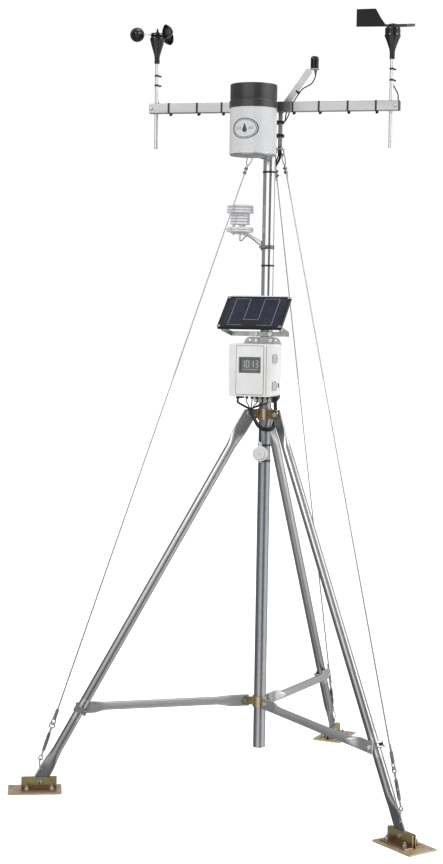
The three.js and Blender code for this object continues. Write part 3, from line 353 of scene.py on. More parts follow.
def frames_along(path):
    """Two directions across the path at each point, turning as little as they can."""
    across, found = None, []
    for i, p in enumerate(path):
        along = (path[min(i + 1, len(path) - 1)] - path[max(i - 1, 0)]).normalized()
        if across is None:
            across = along.orthogonal().normalized()
        across = (across - across.dot(along) * along).normalized()
        found.append((across.copy(), along.cross(across)))
    return found


def raised(outline, d, plane="XZ"):
    """A flat outline put into space, at d across its plane."""
    if plane == "XY":
        return [(a, b, d) for a, b in outline]
    return [(a, d, b) if plane == "XZ" else (d, a, b) for a, b in outline]


class Shape:
    """A mesh under construction, in millimetres in a local frame."""

    def __init__(self):
        self.bm = bmesh.new()

    def skin(self, rings, wrap=False, cap=True):
        """Joins rings of points, each ring to the next."""
        rows = [[self.bm.verts.new(p) for p in ring] for ring in rings]
        count = len(rows[0])
        for i in range(len(rows) if wrap else len(rows) - 1):
            a, b = rows[i], rows[(i + 1) % len(rows)]
            for j in range(count):
                k = (j + 1) % count
                self.bm.faces.new((a[j], a[k], b[k], b[j]))
        if cap and not wrap:
            self.bm.faces.new(rows[0][::-1])
            self.bm.faces.new(rows[-1])
        return self

    def lathe(self, profile, x=0.0, y=0.0, sides=48, lobes=None):
        """A [radius, height] profile turned about an upright axis."""
        rings = []
        for r, z in profile:
            reach = [r * (lobes(2 * math.pi * j / sides, z) if lobes else 1) for j in range(sides)]
            rings.append([(x + reach[j] * math.cos(2 * math.pi * j / sides),
                           y + reach[j] * math.sin(2 * math.pi * j / sides), z) for j in range(sides)])
        return self.skin(rings, wrap=profile[0][0] > 0.01, cap=False)

    def rod(self, radius, start, end, sides=20, chamfer=0.0, end_radius=None):
        """A round or six-sided bar between two points."""
        a, b = Vector(start), Vector(end)
        along = (b - a).normalized()
        u = along.orthogonal().normalized()
        v = along.cross(u)
        last = radius if end_radius is None else end_radius
        stations = [(a, radius), (b, last)]
        if chamfer:
            stations = [(a, radius - chamfer), (a + chamfer * along, radius), (b - chamfer * along, last),
                        (b, last - chamfer)]
        return self.skin([[p + x * u + y * v for x, y in circle(r, sides)] for p, r in stations])

    def box(self, x0, x1, y0, y1, z0, z1):
        return self.skin([[(x0, y0, z), (x1, y0, z), (x1, y1, z), (x0, y1, z)] for z in (z0, z1)])

    def prism(self, outline, d0, d1, plane="XZ"):
        """A flat outline given thickness from d0 to d1 across its plane."""
        return self.skin([raised(outline, d, plane) for d in (d0, d1)])

    def collar(self, outer, inner, d0, d1, plane="XZ"):
        """The same, with an opening of the same number of points."""
        loops = ((outer, d0), (outer, d1), (inner, d1), (inner, d0))
        return self.skin([raised(loop, d, plane) for loop, d in loops], wrap=True)

    def wire(self, points, radius, sides=10, steps=6, closed=False, straight=False):
        """A round section swept along a path."""
        path = [Vector(p) for p in points] if straight else smooth_path(points, steps)
        if closed:
            path = path[:-1]
        rings = []
        for p, (u, v) in zip(path, frames_along(path)):
            rings.append([p + x * u + y * v for x, y in circle(radius, sides)])
        return self.skin(rings, wrap=closed, cap=not closed)

    def ring(self, centre, radius, wire, plane="XZ", steps=28):
        """A closed ring of wire."""
        return self.wire(arc(centre, radius, 0, 360, plane, steps), wire, 8, closed=True, straight=True)

    def strap(self, circles, z0, z1, thick, gap=0.15, sides=56):
        """A band pulled tight round several circles (x, y, radius)."""
        loops = []
        for extra in (gap, gap + thick):
            loop = []
            for i in range(sides):
                a = 2 * math.pi * i / sides
                d = Vector((math.cos(a), math.sin(a)))
                x, y, r = max(circles, key=lambda c: c[0] * d.x + c[1] * d.y + c[2])
                loop.append((x + (r + extra) * d.x, y + (r + extra) * d.y))
            loops.append(loop)
        inner, outer = loops
        return self.collar(outer, inner, z0, z1, "XY")

    def bolt(self, head, direction, grip, size=4.7, stand=5.0):
        """A hex bolt: head and washer at one side of the grip, washer, nut and bare thread at the other."""
        p, d = Vector(head), Vector(direction).normalized()
        self.rod(size * 1.75, p - d * size * 1.25, p - d * 1.4, 6, 0.8)
        self.rod(size * 2.0, p - d * 1.4, p, 24, 0.3)
        q = p + d * grip
        self.rod(size * 2.0, q, q + d * 1.4, 24, 0.3)
        self.rod(size * 1.75, q + d * 1.4, q + d * (1.4 + size * 1.4), 6, 0.8)
        self.rod(size * 0.93, p - d, q + d * (1.4 + size * 1.4 + stand), 16, 0.6)
        return self.thread(size, q + d * (1.4 + size * 1.4 + 0.8), d, int(stand / 1.2))

    def thread(self, radius, start, direction, turns, pitch=1.2, crest=0.6, sides=16, chamfer=0.25):
        """A screw thread, as separate turns."""
        d = Vector(direction)
        for i in range(turns):
            at = Vector(start) + d * (i * pitch)
            self.rod(radius, at, at + d * crest, sides, chamfer)
        return self

    def placed(self, matrix):
        """Moves everything made so far."""
        self.bm.transform(matrix)
        return self

    def take(self, other):
        """Adds another shape's mesh to this one."""
        mesh = bpy.data.meshes.new("part")
        other.bm.to_mesh(mesh)
        other.bm.free()
        self.bm.from_mesh(mesh)
        bpy.data.meshes.remove(mesh)
        return self

    def less(self, *tools):
        """Cuts other shapes out of this one."""
        made = []
        for shape in (self, *tools):
            bmesh.ops.remove_doubles(shape.bm, verts=shape.bm.verts, dist=0.002)
            bmesh.ops.recalc_face_normals(shape.bm, faces=shape.bm.faces)
            mesh = bpy.data.meshes.new("cut")
            shape.bm.to_mesh(mesh)
            shape.bm.free()
            thing = bpy.data.objects.new("cut", mesh)
            bpy.context.scene.collection.objects.link(thing)
            made.append(thing)
        for tool in made[1:]:
            modifier = made[0].modifiers.new("cut", "BOOLEAN")
            modifier.operation, modifier.solver, modifier.object = "DIFFERENCE", "EXACT", tool
        mesh = made[0].evaluated_get(bpy.context.evaluated_depsgraph_get()).to_mesh()
        self.bm = bmesh.new()
        self.bm.from_mesh(mesh)
        for thing in made:
            bpy.data.meshes.remove(thing.data)
        return self

    def done(self, name, where, material, replaces=(), bevel=0.0, sharp=35):
        """Makes the piece, at a place and on a body, instead of the CAD nodes it replaces."""
        place, body = where
        bmesh.ops.remove_doubles(self.bm, verts=self.bm.verts, dist=0.002)
        bmesh.ops.recalc_face_normals(self.bm, faces=self.bm.faces)
        self.bm.transform(Matrix.Scale(MM, 4))
        mesh = bpy.data.meshes.new(name)
        self.bm.to_mesh(mesh)
        self.bm.free()
        mesh.polygons.foreach_set("use_smooth", [True] * len(mesh.polygons))
        mesh.set_sharp_from_angle(angle=math.radians(sharp))
        piece = bpy.data.objects.new(name, mesh)
        piece.matrix_world = place @ Matrix.Scale(1 / MM, 4)
        bpy.context.scene.collection.objects.link(piece)
        mesh.materials.append(material)
        if bevel:
            modifier = piece.modifiers.new("edges", "BEVEL")
            modifier.width, modifier.segments = bevel * MM, 2
            modifier.limit_method, modifier.angle_limit = "ANGLE", math.radians(40)
        piece.modifiers.new("normals", "WEIGHTED_NORMAL").keep_sharp = True
        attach(piece, body)
        if replaces:
            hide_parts(*replaces)
        return piece


# ------------------------------------------------------------------ cables
GLANDS = (-40, -22, -4, 14, 32)
GLAND_Y, GLAND_MOUTH = -80, 1333.5
RAIN_GLAND = (-68, -90)
ARM_LEAD_Y = -17.6                   # leads run along the back of the crossarm
BUNDLE = [(-36, -62, 1298), (-27, -58, 1275), (-14, -53, 1250), (2, -45, 1236), (15, -33, 1231),
    (24.5, -18.2, 1231), (30, -3, 1239), (33.5, 10, 1256), (33, 20, 1285), (30, 23.5, 1318), (28.7, 24.1, 1345),
    (26, 28, 1400), (16, 34, 1460), (0, 37.5, 1515), (-5, 37.2, 1550), (-8.5, 33, 1592), (-8.7, 28.2, 1640),
    (-8.7, 26.9, 1700), (-8.7, 26.9, 1838), (-8.7, 26.9, 1960), (-8.7, 26.9, 2060), (-4, 29, 2090),
    (10, 33, 2118), (24, 27.5, 2142), (28.7, 24.1, 2160), (28.7, 24.1, 2205), (28.7, 24.1, 2250)]
PROBE_JOIN = 18                      # where the temperature lead joins the bundle
ALL = len(BUNDLE) - 1


def facing(x, y, z):
    """A point of the enclosure's frame in the station's."""
    return AHEAD @ Vector((x, y, z))


def strand(index, count, upto, spread=4.3):
    """One lead's own line through the bundle, twisted round the others, from the enclosure upwards."""
    path = [Vector(p) for p in BUNDLE[:upto + 1]]
    line = []
    for i, (p, (u, v)) in enumerate(zip(path, frames_along(path))):
        a = 2 * math.pi * index / count + 0.55 * i
        ease = min(1.0, i / 2 + 0.25)
        line.append(p + spread * ease * (math.cos(a) * u + math.sin(a) * v))
    return line


def lead(name, gland, index, upto, onward, radius=2.1, replaces=()):
    """A lead from its gland through the bundle and onward to its instrument."""
    x, y = gland
    start = [facing(x, y, GLAND_MOUTH), facing(x, y, 1324), facing((x - 30) / 2, y + 6, 1312)]
    points = [*start, *strand(index, 5, upto), *[Vector(p) for p in onward]]
    Shape().wire(points, radius, 8, 6).done(name, ON_MAST, CABLE, replaces, sharp=60)


def make_cables():
    """The leads from the enclosure to the instruments, each over its own CAD cable."""
    x, y = SPEED_X, ARM_Y + ROD_LEAD
    lead("lead_wind_speed", (GLANDS[0], GLAND_Y), 0, ALL, [(20, 28, 2262), (14, 35, 2266), (0, 39, 2271),
        (-26, 29, 2279), (-40, 4, 2290), (-52, -13, 2300), (-80, ARM_LEAD_Y, 2305), (-200, ARM_LEAD_Y, 2305),
        (-352, ARM_LEAD_Y, 2305), (-374, -15.6, 2311), (-383, -16.5, 2324), (-385.4, -24.5, 2336), (x, y, 2352),
        (x, y, 2400), (x, y, 2454)], replaces=["anemometer_cable"])
    x = DIRECTION_X
    lead("lead_wind_direction", (GLANDS[4], GLAND_Y), 1, ALL, [(33, 20.5, 2258), (42, 14, 2262), (50, 5, 2268),
        (54, -9, 2280), (62, -17, 2296), (78, ARM_LEAD_Y, 2305), (200, ARM_LEAD_Y, 2305),
        (396, ARM_LEAD_Y, 2305), (419, -15.6, 2311), (428, -15.5, 2323), (431, -23, 2333), (429, -28, 2347),
        (420, -29, 2363), (412, y, 2380), (x, y, 2400), (x, y, 2454)], replaces=["vane_cable"])
    lead("lead_light", (GLANDS[3], GLAND_Y), 2, ALL, [(31, 29, 2258), (36, 31, 2261), (46, 27, 2268),
        (55, 20, 2280), (62, 13, 2294), (66, 7, 2310), (80, 2, 2331), (96, 0, 2354), (108, 0, 2369),
        (122, 0, 2377), (137, 2, 2386), (147, 3, 2402), (150.5, 4, 2418), (150, 4, 2430)],
        replaces=["light_sensor_cable"])
    lead("lead_temperature", (GLANDS[1], GLAND_Y), 3, PROBE_JOIN - 1, [(-10, 29, 1800), (-11, 31, 1832)],
         replaces=["cable_harness"])
    Shape().wire([(-11, 31, 1832), (-14, 31.5, 1841), (-22, 31, 1847), (-33, 23, 1853), (-44, 13, 1862),
        (-56, 8, 1872), (-68, 4, 1880), (-76, 2, 1882), (-84, 1, 1874), (-91, 0, 1866), (-97, 0, 1866),
        (-98, 0, 1873)], 2.2, 8, 6).done("lead_temperature_end", ON_MAST, GREY_LEAD, sharp=60)
    lead("lead_rain", RAIN_GLAND, 4, ALL, [
        (23, 30, 2262), (16, 36, 2262), (-2, 41, 2268), (-27, 33, 2274), (-42, 6, 2280), (-42, -20, 2276),
        (-50, -44, 2262), (-59, -58, 2236), (-62, -61, 2200), (-62, -64, 2176), (-62, -76, 2166)], radius=3.8)
    points = [facing(GLANDS[2], GLAND_Y, GLAND_MOUTH), facing(GLANDS[2], GLAND_Y, 1324), facing(-17, -74, 1312),
        Vector((-33, -64, 1297)), Vector((-24, -61, 1274)), Vector((-13, -56, 1252)), Vector((-4, -49, 1236)),
        Vector((-6, -44, 1218)), Vector((-7, -38, 1205)), facing(-4, -36, 1196), facing(-4, -36, 1188)]
    Shape().wire(points, 2.1, 8, 6).done("lead_round_sensor", ON_MAST, CABLE, sharp=60)


def tie(name, circles, place, head, width=6.4):
    """A cable tie: a toothed strap, its square head and a cut tail."""
    shape = Shape().strap(circles, -width / 2, width / 2, 1.3)
    d = Vector(polar(1, head))
    x, y, r = max(circles, key=lambda c: c[0] * d.x + c[1] * d.y + c[2])
    block = Shape().box(-3.4, 3.4, 0.2, 5.4, -width * .75, width * .75)
    block.box(-1, 13, 1.4, 2.8, -width * .45, width * .45)
    shape.take(block.placed(shift(x + r * d.x, y + r * d.y, 0) @ turn(head - 90)))
    shape.done(name, (place, "frame"), TIE, bevel=.35)


def make_ties():
    """Cable ties on the mast, the crossarm, the sensor rods and the light sensor's arm."""
    mast = (0, 0, MAST_R)
    side, back = (28.7, 24.1, 6.6), (-8.7, 26.9, 6.6)
    for i, (z, bundle) in enumerate(((1352, side), (1782, back), (2094, (-3, 30, 6.6)), (2215, side))):
        tie(f"tie_mast_{i}", [mast, bundle], STATION @ shift(0, 0, z), head=60)
    for i, z in enumerate((1124, 1177)):
        sensor = [mast, (-4, -27, 3)]
        tie(f"tie_round_sensor_{i}", sensor, FACING @ shift(0, 0, z), head=160)
    arm_plane = Matrix(((0, 0, 1, 0), (1, 0, 0, 0), (0, 1, 0, 0), (0, 0, 0, 1)))
    corners = [(ARM_Y + a, b, 2.5) for a in (-13.5, 13.5) for b in (-13.5, 13.5)]
    for i, x in enumerate((-339, -241, -156, 85, 173, 269, 362)):
        tie(f"tie_arm_{i}", [*corners, (ARM_LEAD_Y, 0, 2.1)], STATION @ shift(x, 0, ARM_Z) @ arm_plane,
            head=-60)
    for name, x, heights in (("speed", SPEED_X, (2383, 2415)), ("direction", DIRECTION_X, (2388, 2424))):
        for i, z in enumerate(heights):
            tie(f"tie_{name}_{i}", [(x, ARM_Y, ROD_R), (x, ARM_Y + ROD_LEAD, 2.1)], STATION @ shift(0, 0, z),
                head=100)
    tie("tie_light", [(9, -10.5, 1.7), (12.6, -9.4, 2.2)], LIGHT_ARM @ shift(0, 0, 96), head=-60)


make_cables()
make_ties()


# ------------------------------------------------------------------ mast and tripod
def make_mast():
    """The dull lower tube and the bright upper one, whose spigot stands inside it."""
    lower = Shape().lathe([(MAST_BORE, MAST_FOOT), (19.2, MAST_FOOT), (20.4, MAST_FOOT),
        (MAST_R, MAST_FOOT + .4), (MAST_R, MAST_JOINT - .4), (20.4, MAST_JOINT), (MAST_BORE, MAST_JOINT)],
        sides=64)
    lower.done("mast_lower_tube", ON_MAST, DULL_STEEL, ["mast_lower"])
    upper = Shape().lathe([(16.3, 1560), (18.3, 1560), (18.3, MAST_JOINT + .3), (20.4, MAST_JOINT + .3),
        (MAST_R, MAST_JOINT + .7), (MAST_R, MAST_TOP - .5), (20.2, MAST_TOP), (18.9, MAST_TOP),
        (MAST_BORE, MAST_TOP - .5), (MAST_BORE, 1622), (16.3, 1618)], sides=64)
    upper.done("mast_upper_tube", ON_MAST, POLISHED, ["mast_upper"])


def pressed_tube(length, radius, overhang, flat, taper, sideways, wall=2.5, sides=40):
    """A tube with both ends pressed flat, along its own +Z."""
    flat_width = FLAT + math.pi * (radius - FLAT / 2)
    ends = [-overhang, -overhang + 0.8, flat * 0.5, flat]
    ends += [flat + taper * i / 7 for i in range(1, 8)]
    stations = ends + [length - z for z in reversed(ends)]

    def loop(z, inset, trim=0.0):
        t = min(max((flat + taper - min(z, length - z)) / taper, 0), 1)
        s = t * t * (3 - 2 * t)
        points = []
        for j in range(sides):
            a = (j + 0.5) * 2 * math.pi / sides
            c, n = math.cos(a), math.sin(a)
            flat_y = min(max(2.2 * n, -1), 1) * (FLAT / 2 - inset)
            x = ((1 - s) * (radius - inset) + s * (flat_width / 2 - inset)) * c * (1 - trim)
            points.append((x, (1 - s) * (radius - inset) * n + s * (flat_y + sideways), z))
        return points

    outer = [loop(z, 0, 0.02 if i in (0, len(stations) - 1) else 0) for i, z in enumerate(stations)]
    inner = [loop(z, wall) for z in reversed(stations)]
    return Shape().skin(outer + inner, wrap=True)


def foot_profile(side):
    """The bent angle's section, as (t, z): upright flange, round bend, flat flange."""
    face, far = (LEG_T + 3.3, 46) if side > 0 else (LEG_T - 3.3, -29)
    s = 1 if side > 0 else -1
    bend = [(face + s * (6 - 6 * math.cos(a)), 10 - 6 * math.sin(a))
            for a in (i * math.pi / 12 for i in range(7))]
    inside = [(face + s * (6 - 2 * math.cos(a)), 10 - 2 * math.sin(a))
              for a in (i * math.pi / 12 for i in range(6, -1, -1))]
    return [(face, 46), *bend, (far, 4), (far, 8), *inside, (face + s * 4, 46)]


def make_foot(side):
    """A base plate with two angles back to back, their bolts and the pivot bolt."""
    sector = SECTORS[side]
    plate = Shape().prism(rounded(FOOT_R - 76, FOOT_R + 104, LEG_T - 56, LEG_T + 56, 5), 0, 4, "XY")
    holes = [Shape().rod(4.5, (r, t, -3), (r, t, 9), 20)
             for r in (FOOT_R - 64, FOOT_R + 92) for t in (LEG_T - 42, LEG_T + 42)]
    body = f"foot_{side}"
    where = (sector, body)
    plate.less(*holes).done(f"{body}_base", where, BASE_ZINC, [body], bevel=.5)
    angles = Shape()
    for s in (1, -1):
        angles.prism(foot_profile(s), FOOT_R - 60, FOOT_R + 60, "YZ")
    pivot = Shape().rod(5.2, (FOOT_R, -40, FOOT_Z), (FOOT_R, 60, FOOT_Z), 24)
    angles.less(pivot).done(f"{body}_angles", where, ZINC, bevel=.9)
    bolts = Shape()
    for r in (FOOT_R - 42, FOOT_R + 42):
        for t in (LEG_T + 24, LEG_T - 24):
            bolts.rod(8.4, (r, t, 8), (r, t, 9.6), 24, .3).rod(7.2, (r, t, 9.6), (r, t, 16), 6, .8)
            bolts.rod(3.8, (r, t, 4), (r, t, 24), 14, .6).thread(4.1, (r, t, 17), (0, 0, 1), 5, 1.3, .7, 14)
    bolts.done(f"{body}_anchor_bolts", where, WEATHERED, sharp=30)
    Shape().bolt((FOOT_R, LEG_T - 7.3, FOOT_Z), (0, 1, 0), 14.6).done(f"{body}_pivot_bolt", where, WEATHERED,
                                                                      [f"foot_bolt_{side}"], sharp=30)


def make_leg(side):
    """A leg tube with the U-bolt that clamps its strut, and the bolt it folds on."""
    sector = SECTORS[side]
    place = sector @ shift(APEX_R, LEG_T, APEX_Z) @ turn(180 - LEG_ANGLE, "Y")
    body = f"leg_{side}"
    where = (place, body)
    tube = pressed_tube(LEG_LENGTH, 16, 8, 50, 80, 0)
    hook_hole = Shape().rod(4.2, (-17, -30, LEG_LENGTH - 38), (-17, 30, LEG_LENGTH - 38), 16)
    tube.less(hook_hole).done(f"{body}_tube", where, LEG_GREY, [body], sharp=50)
    clamp = Shape().box(-12, 12, 19.4, 21.4, CLAMP_ALONG - 4, CLAMP_ALONG + 4)
    clamp.box(-9, 9, 15.6, 19.6, CLAMP_ALONG - 9, CLAMP_ALONG + 9)
    for z in (-7, 7):
        at = CLAMP_ALONG + z
        line = [(18.6, 24.6, at), (18.6, 0, at), *arc((0, 0, at), 18.6, -15, -150, "XY", 12), (-18.6, 0, at),
                (-18.6, 24.6, at)]
        clamp.wire(line, 2.3, 10, straight=True)
        for x in (-18.6, 18.6):
            clamp.rod(4.6, (x, 19, at), (x, 23, at), 6, .6)
    clamp.box(-23, 23, 16.6, 19.4, CLAMP_ALONG - 9, CLAMP_ALONG + 9)
    clamp.less(Shape().rod(16.1, (0, 0, CLAMP_ALONG - 40), (0, 0, CLAMP_ALONG + 40), 48))
    clamp.done(f"{body}_strut_clamp", where, WEATHERED, [f"strut_clamp_{side}"], bevel=.3)
    Shape().bolt((APEX_R, LEG_T - 9.3, APEX_Z), (0, 1, 0), 12.3).done(f"{body}_pivot_bolt", (sector, "frame"),
                                                                      BRIGHT, [f"leg_bolt_{side}"], sharp=30)


def make_strut(side):
    """A strut from the sliding hub out to its leg."""
    place = SECTORS[side] @ shift(HUB_R, STRUT_T, HUB_Z) @ turn(90 + STRUT_DIP, "Y")
    body = f"strut_{side}"
    where = (place, body)
    pressed_tube(STRUT_LENGTH, 14, 14, 42, 55, 11).done(f"{body}_tube", where, STRUT_GREY, [body], sharp=50)
    end = Shape().rod(8.2, (0, 6.5, STRUT_LENGTH), (0, 8, STRUT_LENGTH), 24, .3)
    end.rod(7.6, (0, 1.5, STRUT_LENGTH), (0, 6.5, STRUT_LENGTH), 6, .8)
    end.rod(4.4, (0, 0, STRUT_LENGTH), (0, 14.2, STRUT_LENGTH), 16, .5)
    end.done(f"{body}_end_bolt", where, BRIGHT, sharp=30)


def ear_outline(x0, x1, z, half):
    """A plate round at its outer end."""
    return [(x0, z - half), *bow(x1, z, half, -90, 180, 14), (x0, z + half)]


def band(inner, outer, z0, z1):
    """A plain ring round the mast, with its outer edges eased."""
    return Shape().lathe([(inner, z0), (outer - .6, z0), (outer, z0 + .6), (outer, z1 - .6), (outer - .6, z1),
                          (inner, z1)])


def make_collars():
    """The apex collar and the hub, each with three ears."""
    band(20.95, 25, 1262, 1302).done("apex_collar_ring", ON_MAST, COPPER_ZINC, ["apex_collar"], sharp=40)
    band(21.25, 25.3, 278, 316).done("hub_ring", (STATION, "hub"), COPPER_ZINC, ["hub_collar"], sharp=40)
    for side in BEARINGS:
        sector = SECTORS[side]
        ear = Shape().prism(ear_outline(23.5, APEX_R, APEX_Z, 16), -.8, 5.2)
        ear.less(Shape().rod(5.2, (APEX_R, -30, APEX_Z), (APEX_R, 30, APEX_Z), 24))
        ear.done(f"apex_ear_{side}", (sector, "frame"), COPPER_ZINC, bevel=.7)
        for t in (-1.6, 6.0):
            weld = Shape().wire([(24.6, t, 1268), (24.9, t, 1283), (24.6, t, 1298)], 1.5, 8)
            weld.done(f"apex_weld_{side}_{'a' if t < 0 else 'b'}", (sector, "frame"), COPPER_ZINC, sharp=60)
        plate = Shape().prism(ear_outline(22, HUB_R, HUB_Z, 14), -10.4, -4.4)
        plate.done(f"hub_ear_{side}", (sector, "hub"), ZINC, bevel=.7)
        pin = Shape().rod(4.7, (HUB_R, -8, HUB_Z), (HUB_R, -19, HUB_Z), 20).rod(
            9, (HUB_R, -17, HUB_Z), (HUB_R, -18.5, HUB_Z), 24, .3)
        pin.rod(7.8, (HUB_R, -18.5, HUB_Z), (HUB_R, -23.5, HUB_Z), 6, .8)
        pin.rod(7.8, (HUB_R, -4.4, HUB_Z), (HUB_R, .4, HUB_Z), 6, .8)
        pin.done(f"hub_bolt_{side}", (sector, "hub"), BRIGHT, sharp=30)


def make_guy(side):
    """The wire, its thimbles and clips, the turnbuckle and the hook that catches the leg's edge."""
    place = SECTORS[side] @ shift(GUY_TOP_R, LEG_T, GUY_TOP_Z) @ turn(180 - GUY_ANGLE, "Y")
    body = f"guy_{side}"
    where = (place, body)
    top = Shape().wire([(0, 0, 62), (-6, 0, 48), (-8, 0, 34), (-5, 0, 23), (0, 0, 19), (5, 0, 23), (8, 0, 34),
                        (6, 0, 48), (0, 0, 62)], 2.2, 8, 6)
    top.wire([(0, 0, 54), (0, 0, 200), (0, 0, 1400), (0, 0, 2032)], 2.4, 8, 2)
    top.wire([(1, 3.2, 58), (0, 3.6, 76), (0, 3.6, 100)], 1.7, 8)
    top.wire([(1, 3.2, 2022), (0, 3.6, 1996), (0, 3.6, 1972)], 1.7, 8)
    top.wire([(0, 0, 2018), (5, 0, 2030), (6.5, 0, 2042), (0, 0, 2050), (-6.5, 0, 2042), (-5, 0, 2030),
        (0, 0, 2018)], 2.2, 8, 6)
    top.done(f"{body}_wire", where, WIRE, [f"guy_wire_{side}"], sharp=60)
    clips = Shape()
    clips.rod(6, (0, 1.2, 1992), (0, 1.2, 2030), 20, 3)
    for z in (68, 82):
        clips.box(-4.8, 4.8, -3.6, -1.3, z - 6, z + 6)
        for x in (-3.6, 3.6):
            clips.rod(1.6, (x, 5.4, z), (x, -8, z), 10, .3).rod(3.1, (x, -3.6, z), (x, -6.4, z), 6, .4)
        clips.rod(1.6, (-3.6, 5.6, z), (3.6, 5.6, z), 10, .3)
    clips.done(f"{body}_clips", where, FITTING, bevel=.3)
    start = 2051.6
    buckle = Shape().ring((0, 0, start), 9, 2.2)
    buckle.rod(3, (0, 0, start + 9), (0, 0, start + 34), 14)
    buckle.thread(3.4, (0, 0, start + 12), (0, 0, 1), 7, 2.2, 1.1, 14, .3)
    buckle.rod(4.6, (0, 0, start + 26), (0, 0, start + 34), 20, end_radius=5.8)
    buckle.rod(5.8, (0, 0, start + 34), (0, 0, start + 84), 20)
    buckle.rod(5.8, (0, 0, start + 84), (0, 0, start + 92), 20, end_radius=4.4)
    buckle.rod(6.6, (0, 0, start + 54), (0, 0, start + 64), 6, .8)
    buckle.rod(3, (0, 0, start + 70), (0, 0, start + 108), 14)
    buckle.ring((0, 0, start + 117), 7, 2)
    buckle.done(f"{body}_turnbuckle", where, FITTING, [f"turnbuckle_{side}"], sharp=40)
    shackle = Shape().wire([(-4.5, 0, -3), (-5.5, 0, 8), (-3.6, 0, 19), (0, 0, 22.4), (3.6, 0, 19), (5.5, 0, 8),
                            (4.5, 0, -3)], 1.8, 8)
    shackle.rod(2.2, (-8, 0, -3), (8, 0, -3), 12, .4)
    shackle.done(f"{body}_shackle", (place @ turn(90), body), FITTING, sharp=50)
    hook = Shape().wire([(0, 3, 2167), (0, 4.4, 2172), (0, -2, 2177), (1, -6, 2184), (4, -7.4, 2193),
        (8, -7.2, 2202), (11, -6.6, 2208), (12.4, -5.4, 2212), (12, -5.2, 2206)], 1.9, 8)
    hook.done(f"{body}_hook", where, FITTING, sharp=60)


def make_guy_ring():
    """The ring near the mast's top that the guys hook into."""
    band(20.95, 24.5, 2158, 2178).done("guy_ring_band", ON_MAST, WEATHERED, ["guy_ring"], sharp=40)
    for side in BEARINGS:
        outline = ear_outline(0, GUY_TOP_R - 23, 0, 11)
        ear = Shape().prism([(x + 23, t + LEG_T) for x, t in outline], GUY_TOP_Z - 2, GUY_TOP_Z + 3, "XY")
        ear.less(Shape().rod(4.5, (GUY_TOP_R, LEG_T, GUY_TOP_Z - 9), (GUY_TOP_R, LEG_T, GUY_TOP_Z + 9), 20))
        ear.done(f"guy_ear_{side}", (SECTORS[side], "frame"), BRIGHT, bevel=.5)


make_mast()
make_collars()
make_guy_ring()
for each in BEARINGS:
    make_leg(each)
    make_foot(each)
    make_strut(each)
    make_guy(each)


# ------------------------------------------------------------------ crossarm
def u_bolt(z, front, wire):
    """Round the back of the mast with both legs forward through the plate."""
    line = [(BOLT_REACH, front, z), (BOLT_REACH, 0, z), *arc((0, 0, z), BOLT_REACH, 15, 150, "XY", 12),
            (-BOLT_REACH, 0, z), (-BOLT_REACH, front, z)]
    return Shape().wire(line, wire, 12, straight=True)


def saddle(x0, x1, y0, y1, z0, z1):
    """A block hollowed to sit against the mast."""
    return Shape().box(x0, x1, y0, y1, z0, z1).less(Shape().rod(SEAT_R, (0, 0, z0 - 13), (0, 0, z1 + 13), 64))


def u_bolt_nuts(name, z, nut, wire, where):
    """A dark washer and a bright nut on each leg."""
    washers, nuts = Shape(), Shape()
    for x in (-BOLT_REACH, BOLT_REACH):
        washers.rod(wire * 2.5, (x, nut, z), (x, nut - 1.6, z), 24, .3)
        nuts.rod(wire * 1.9, (x, nut - 1.6, z), (x, nut - 1.6 - wire * 1.5, z), 6, .6)
    washers.done(f"{name}_washers", where, WEATHERED, sharp=40)
    nuts.done(f"{name}_nuts", where, BRIGHT, sharp=30)


def make_crossarm():
    """The square arm with its clamp, end plug, screws and the two sensor rods."""
    z0, z1, y0, y1 = ARM_Z - 16, ARM_Z + 16, ARM_Y - 16, ARM_Y + 16
    arm = Shape().collar(rounded(y0, y1, z0, z1, 2.6), rounded(y0 + 2.5, y1 - 2.5, z0 + 2.5, z1 - 2.5, 1.2),
                         ARM_LEFT, ARM_RIGHT, "YZ")
    holes = [Shape().rod(6.65, (x, ARM_Y, 2270), (x, ARM_Y, 2340), 28) for x in (SPEED_X, DIRECTION_X)]
    arm.less(*holes).done("crossarm_tube", ON_MAST, ALUMINIUM, ["crossarm"], bevel=.3, sharp=30)
    plug = Shape().prism(rounded(y0, y1, z0, z1, 2.6), ARM_RIGHT + .1, ARM_RIGHT + 3.8, "YZ")
    plug.prism(rounded(y0 + 2.7, y1 - 2.7, z0 + 2.7, z1 - 2.7, 1.2), ARM_RIGHT - 11.6, ARM_RIGHT + 3.4, "YZ")
    plug.done("crossarm_end_plug", ON_MAST, TIE, bevel=.5)
    u_bolt(ARM_Z, y0 - 6, 3.8).done("crossarm_u_bolt", ON_MAST, BRIGHT, ["crossarm_clamp"], sharp=40)
    u_bolt_nuts("crossarm_u_bolt", ARM_Z, y0, 3.0, ON_MAST)
    # A dark plate on the arm's front, right of the gauge: painted shadow of the gauge on that stretch of the
    # arm.
    plate = Shape().prism(rounded(35, 79, z0 - .4, z1 + .4, 2), y0 - 2.6, y0 - .1)
    plate.done("crossarm_painted_shadow_plate", ON_MAST, PAINTED_SHADOW_METAL, bevel=.4)
    screws = Shape()
    for x in (-400, 423):
        screws.rod(6.4, (x, y0, ARM_Z), (x, y0 - 1.4, ARM_Z), 24, .3).rod(
            5.4, (x, y0 - 1.4, ARM_Z), (x, y0 - 5.4, ARM_Z), 6, .7)
    screws.done("crossarm_screws", ON_MAST, WEATHERED, sharp=30)
    for name, node, x, bottom in (("speed", "anemometer_rod", SPEED_X, 2171),
                                  ("direction", "vane_rod", DIRECTION_X, 2169)):
        rod = Shape().rod(ROD_R, (x, ARM_Y, bottom), (x, ARM_Y, 2470), 40, .6)
        rod.done(f"{name}_rod", ON_MAST, ROD, [node])


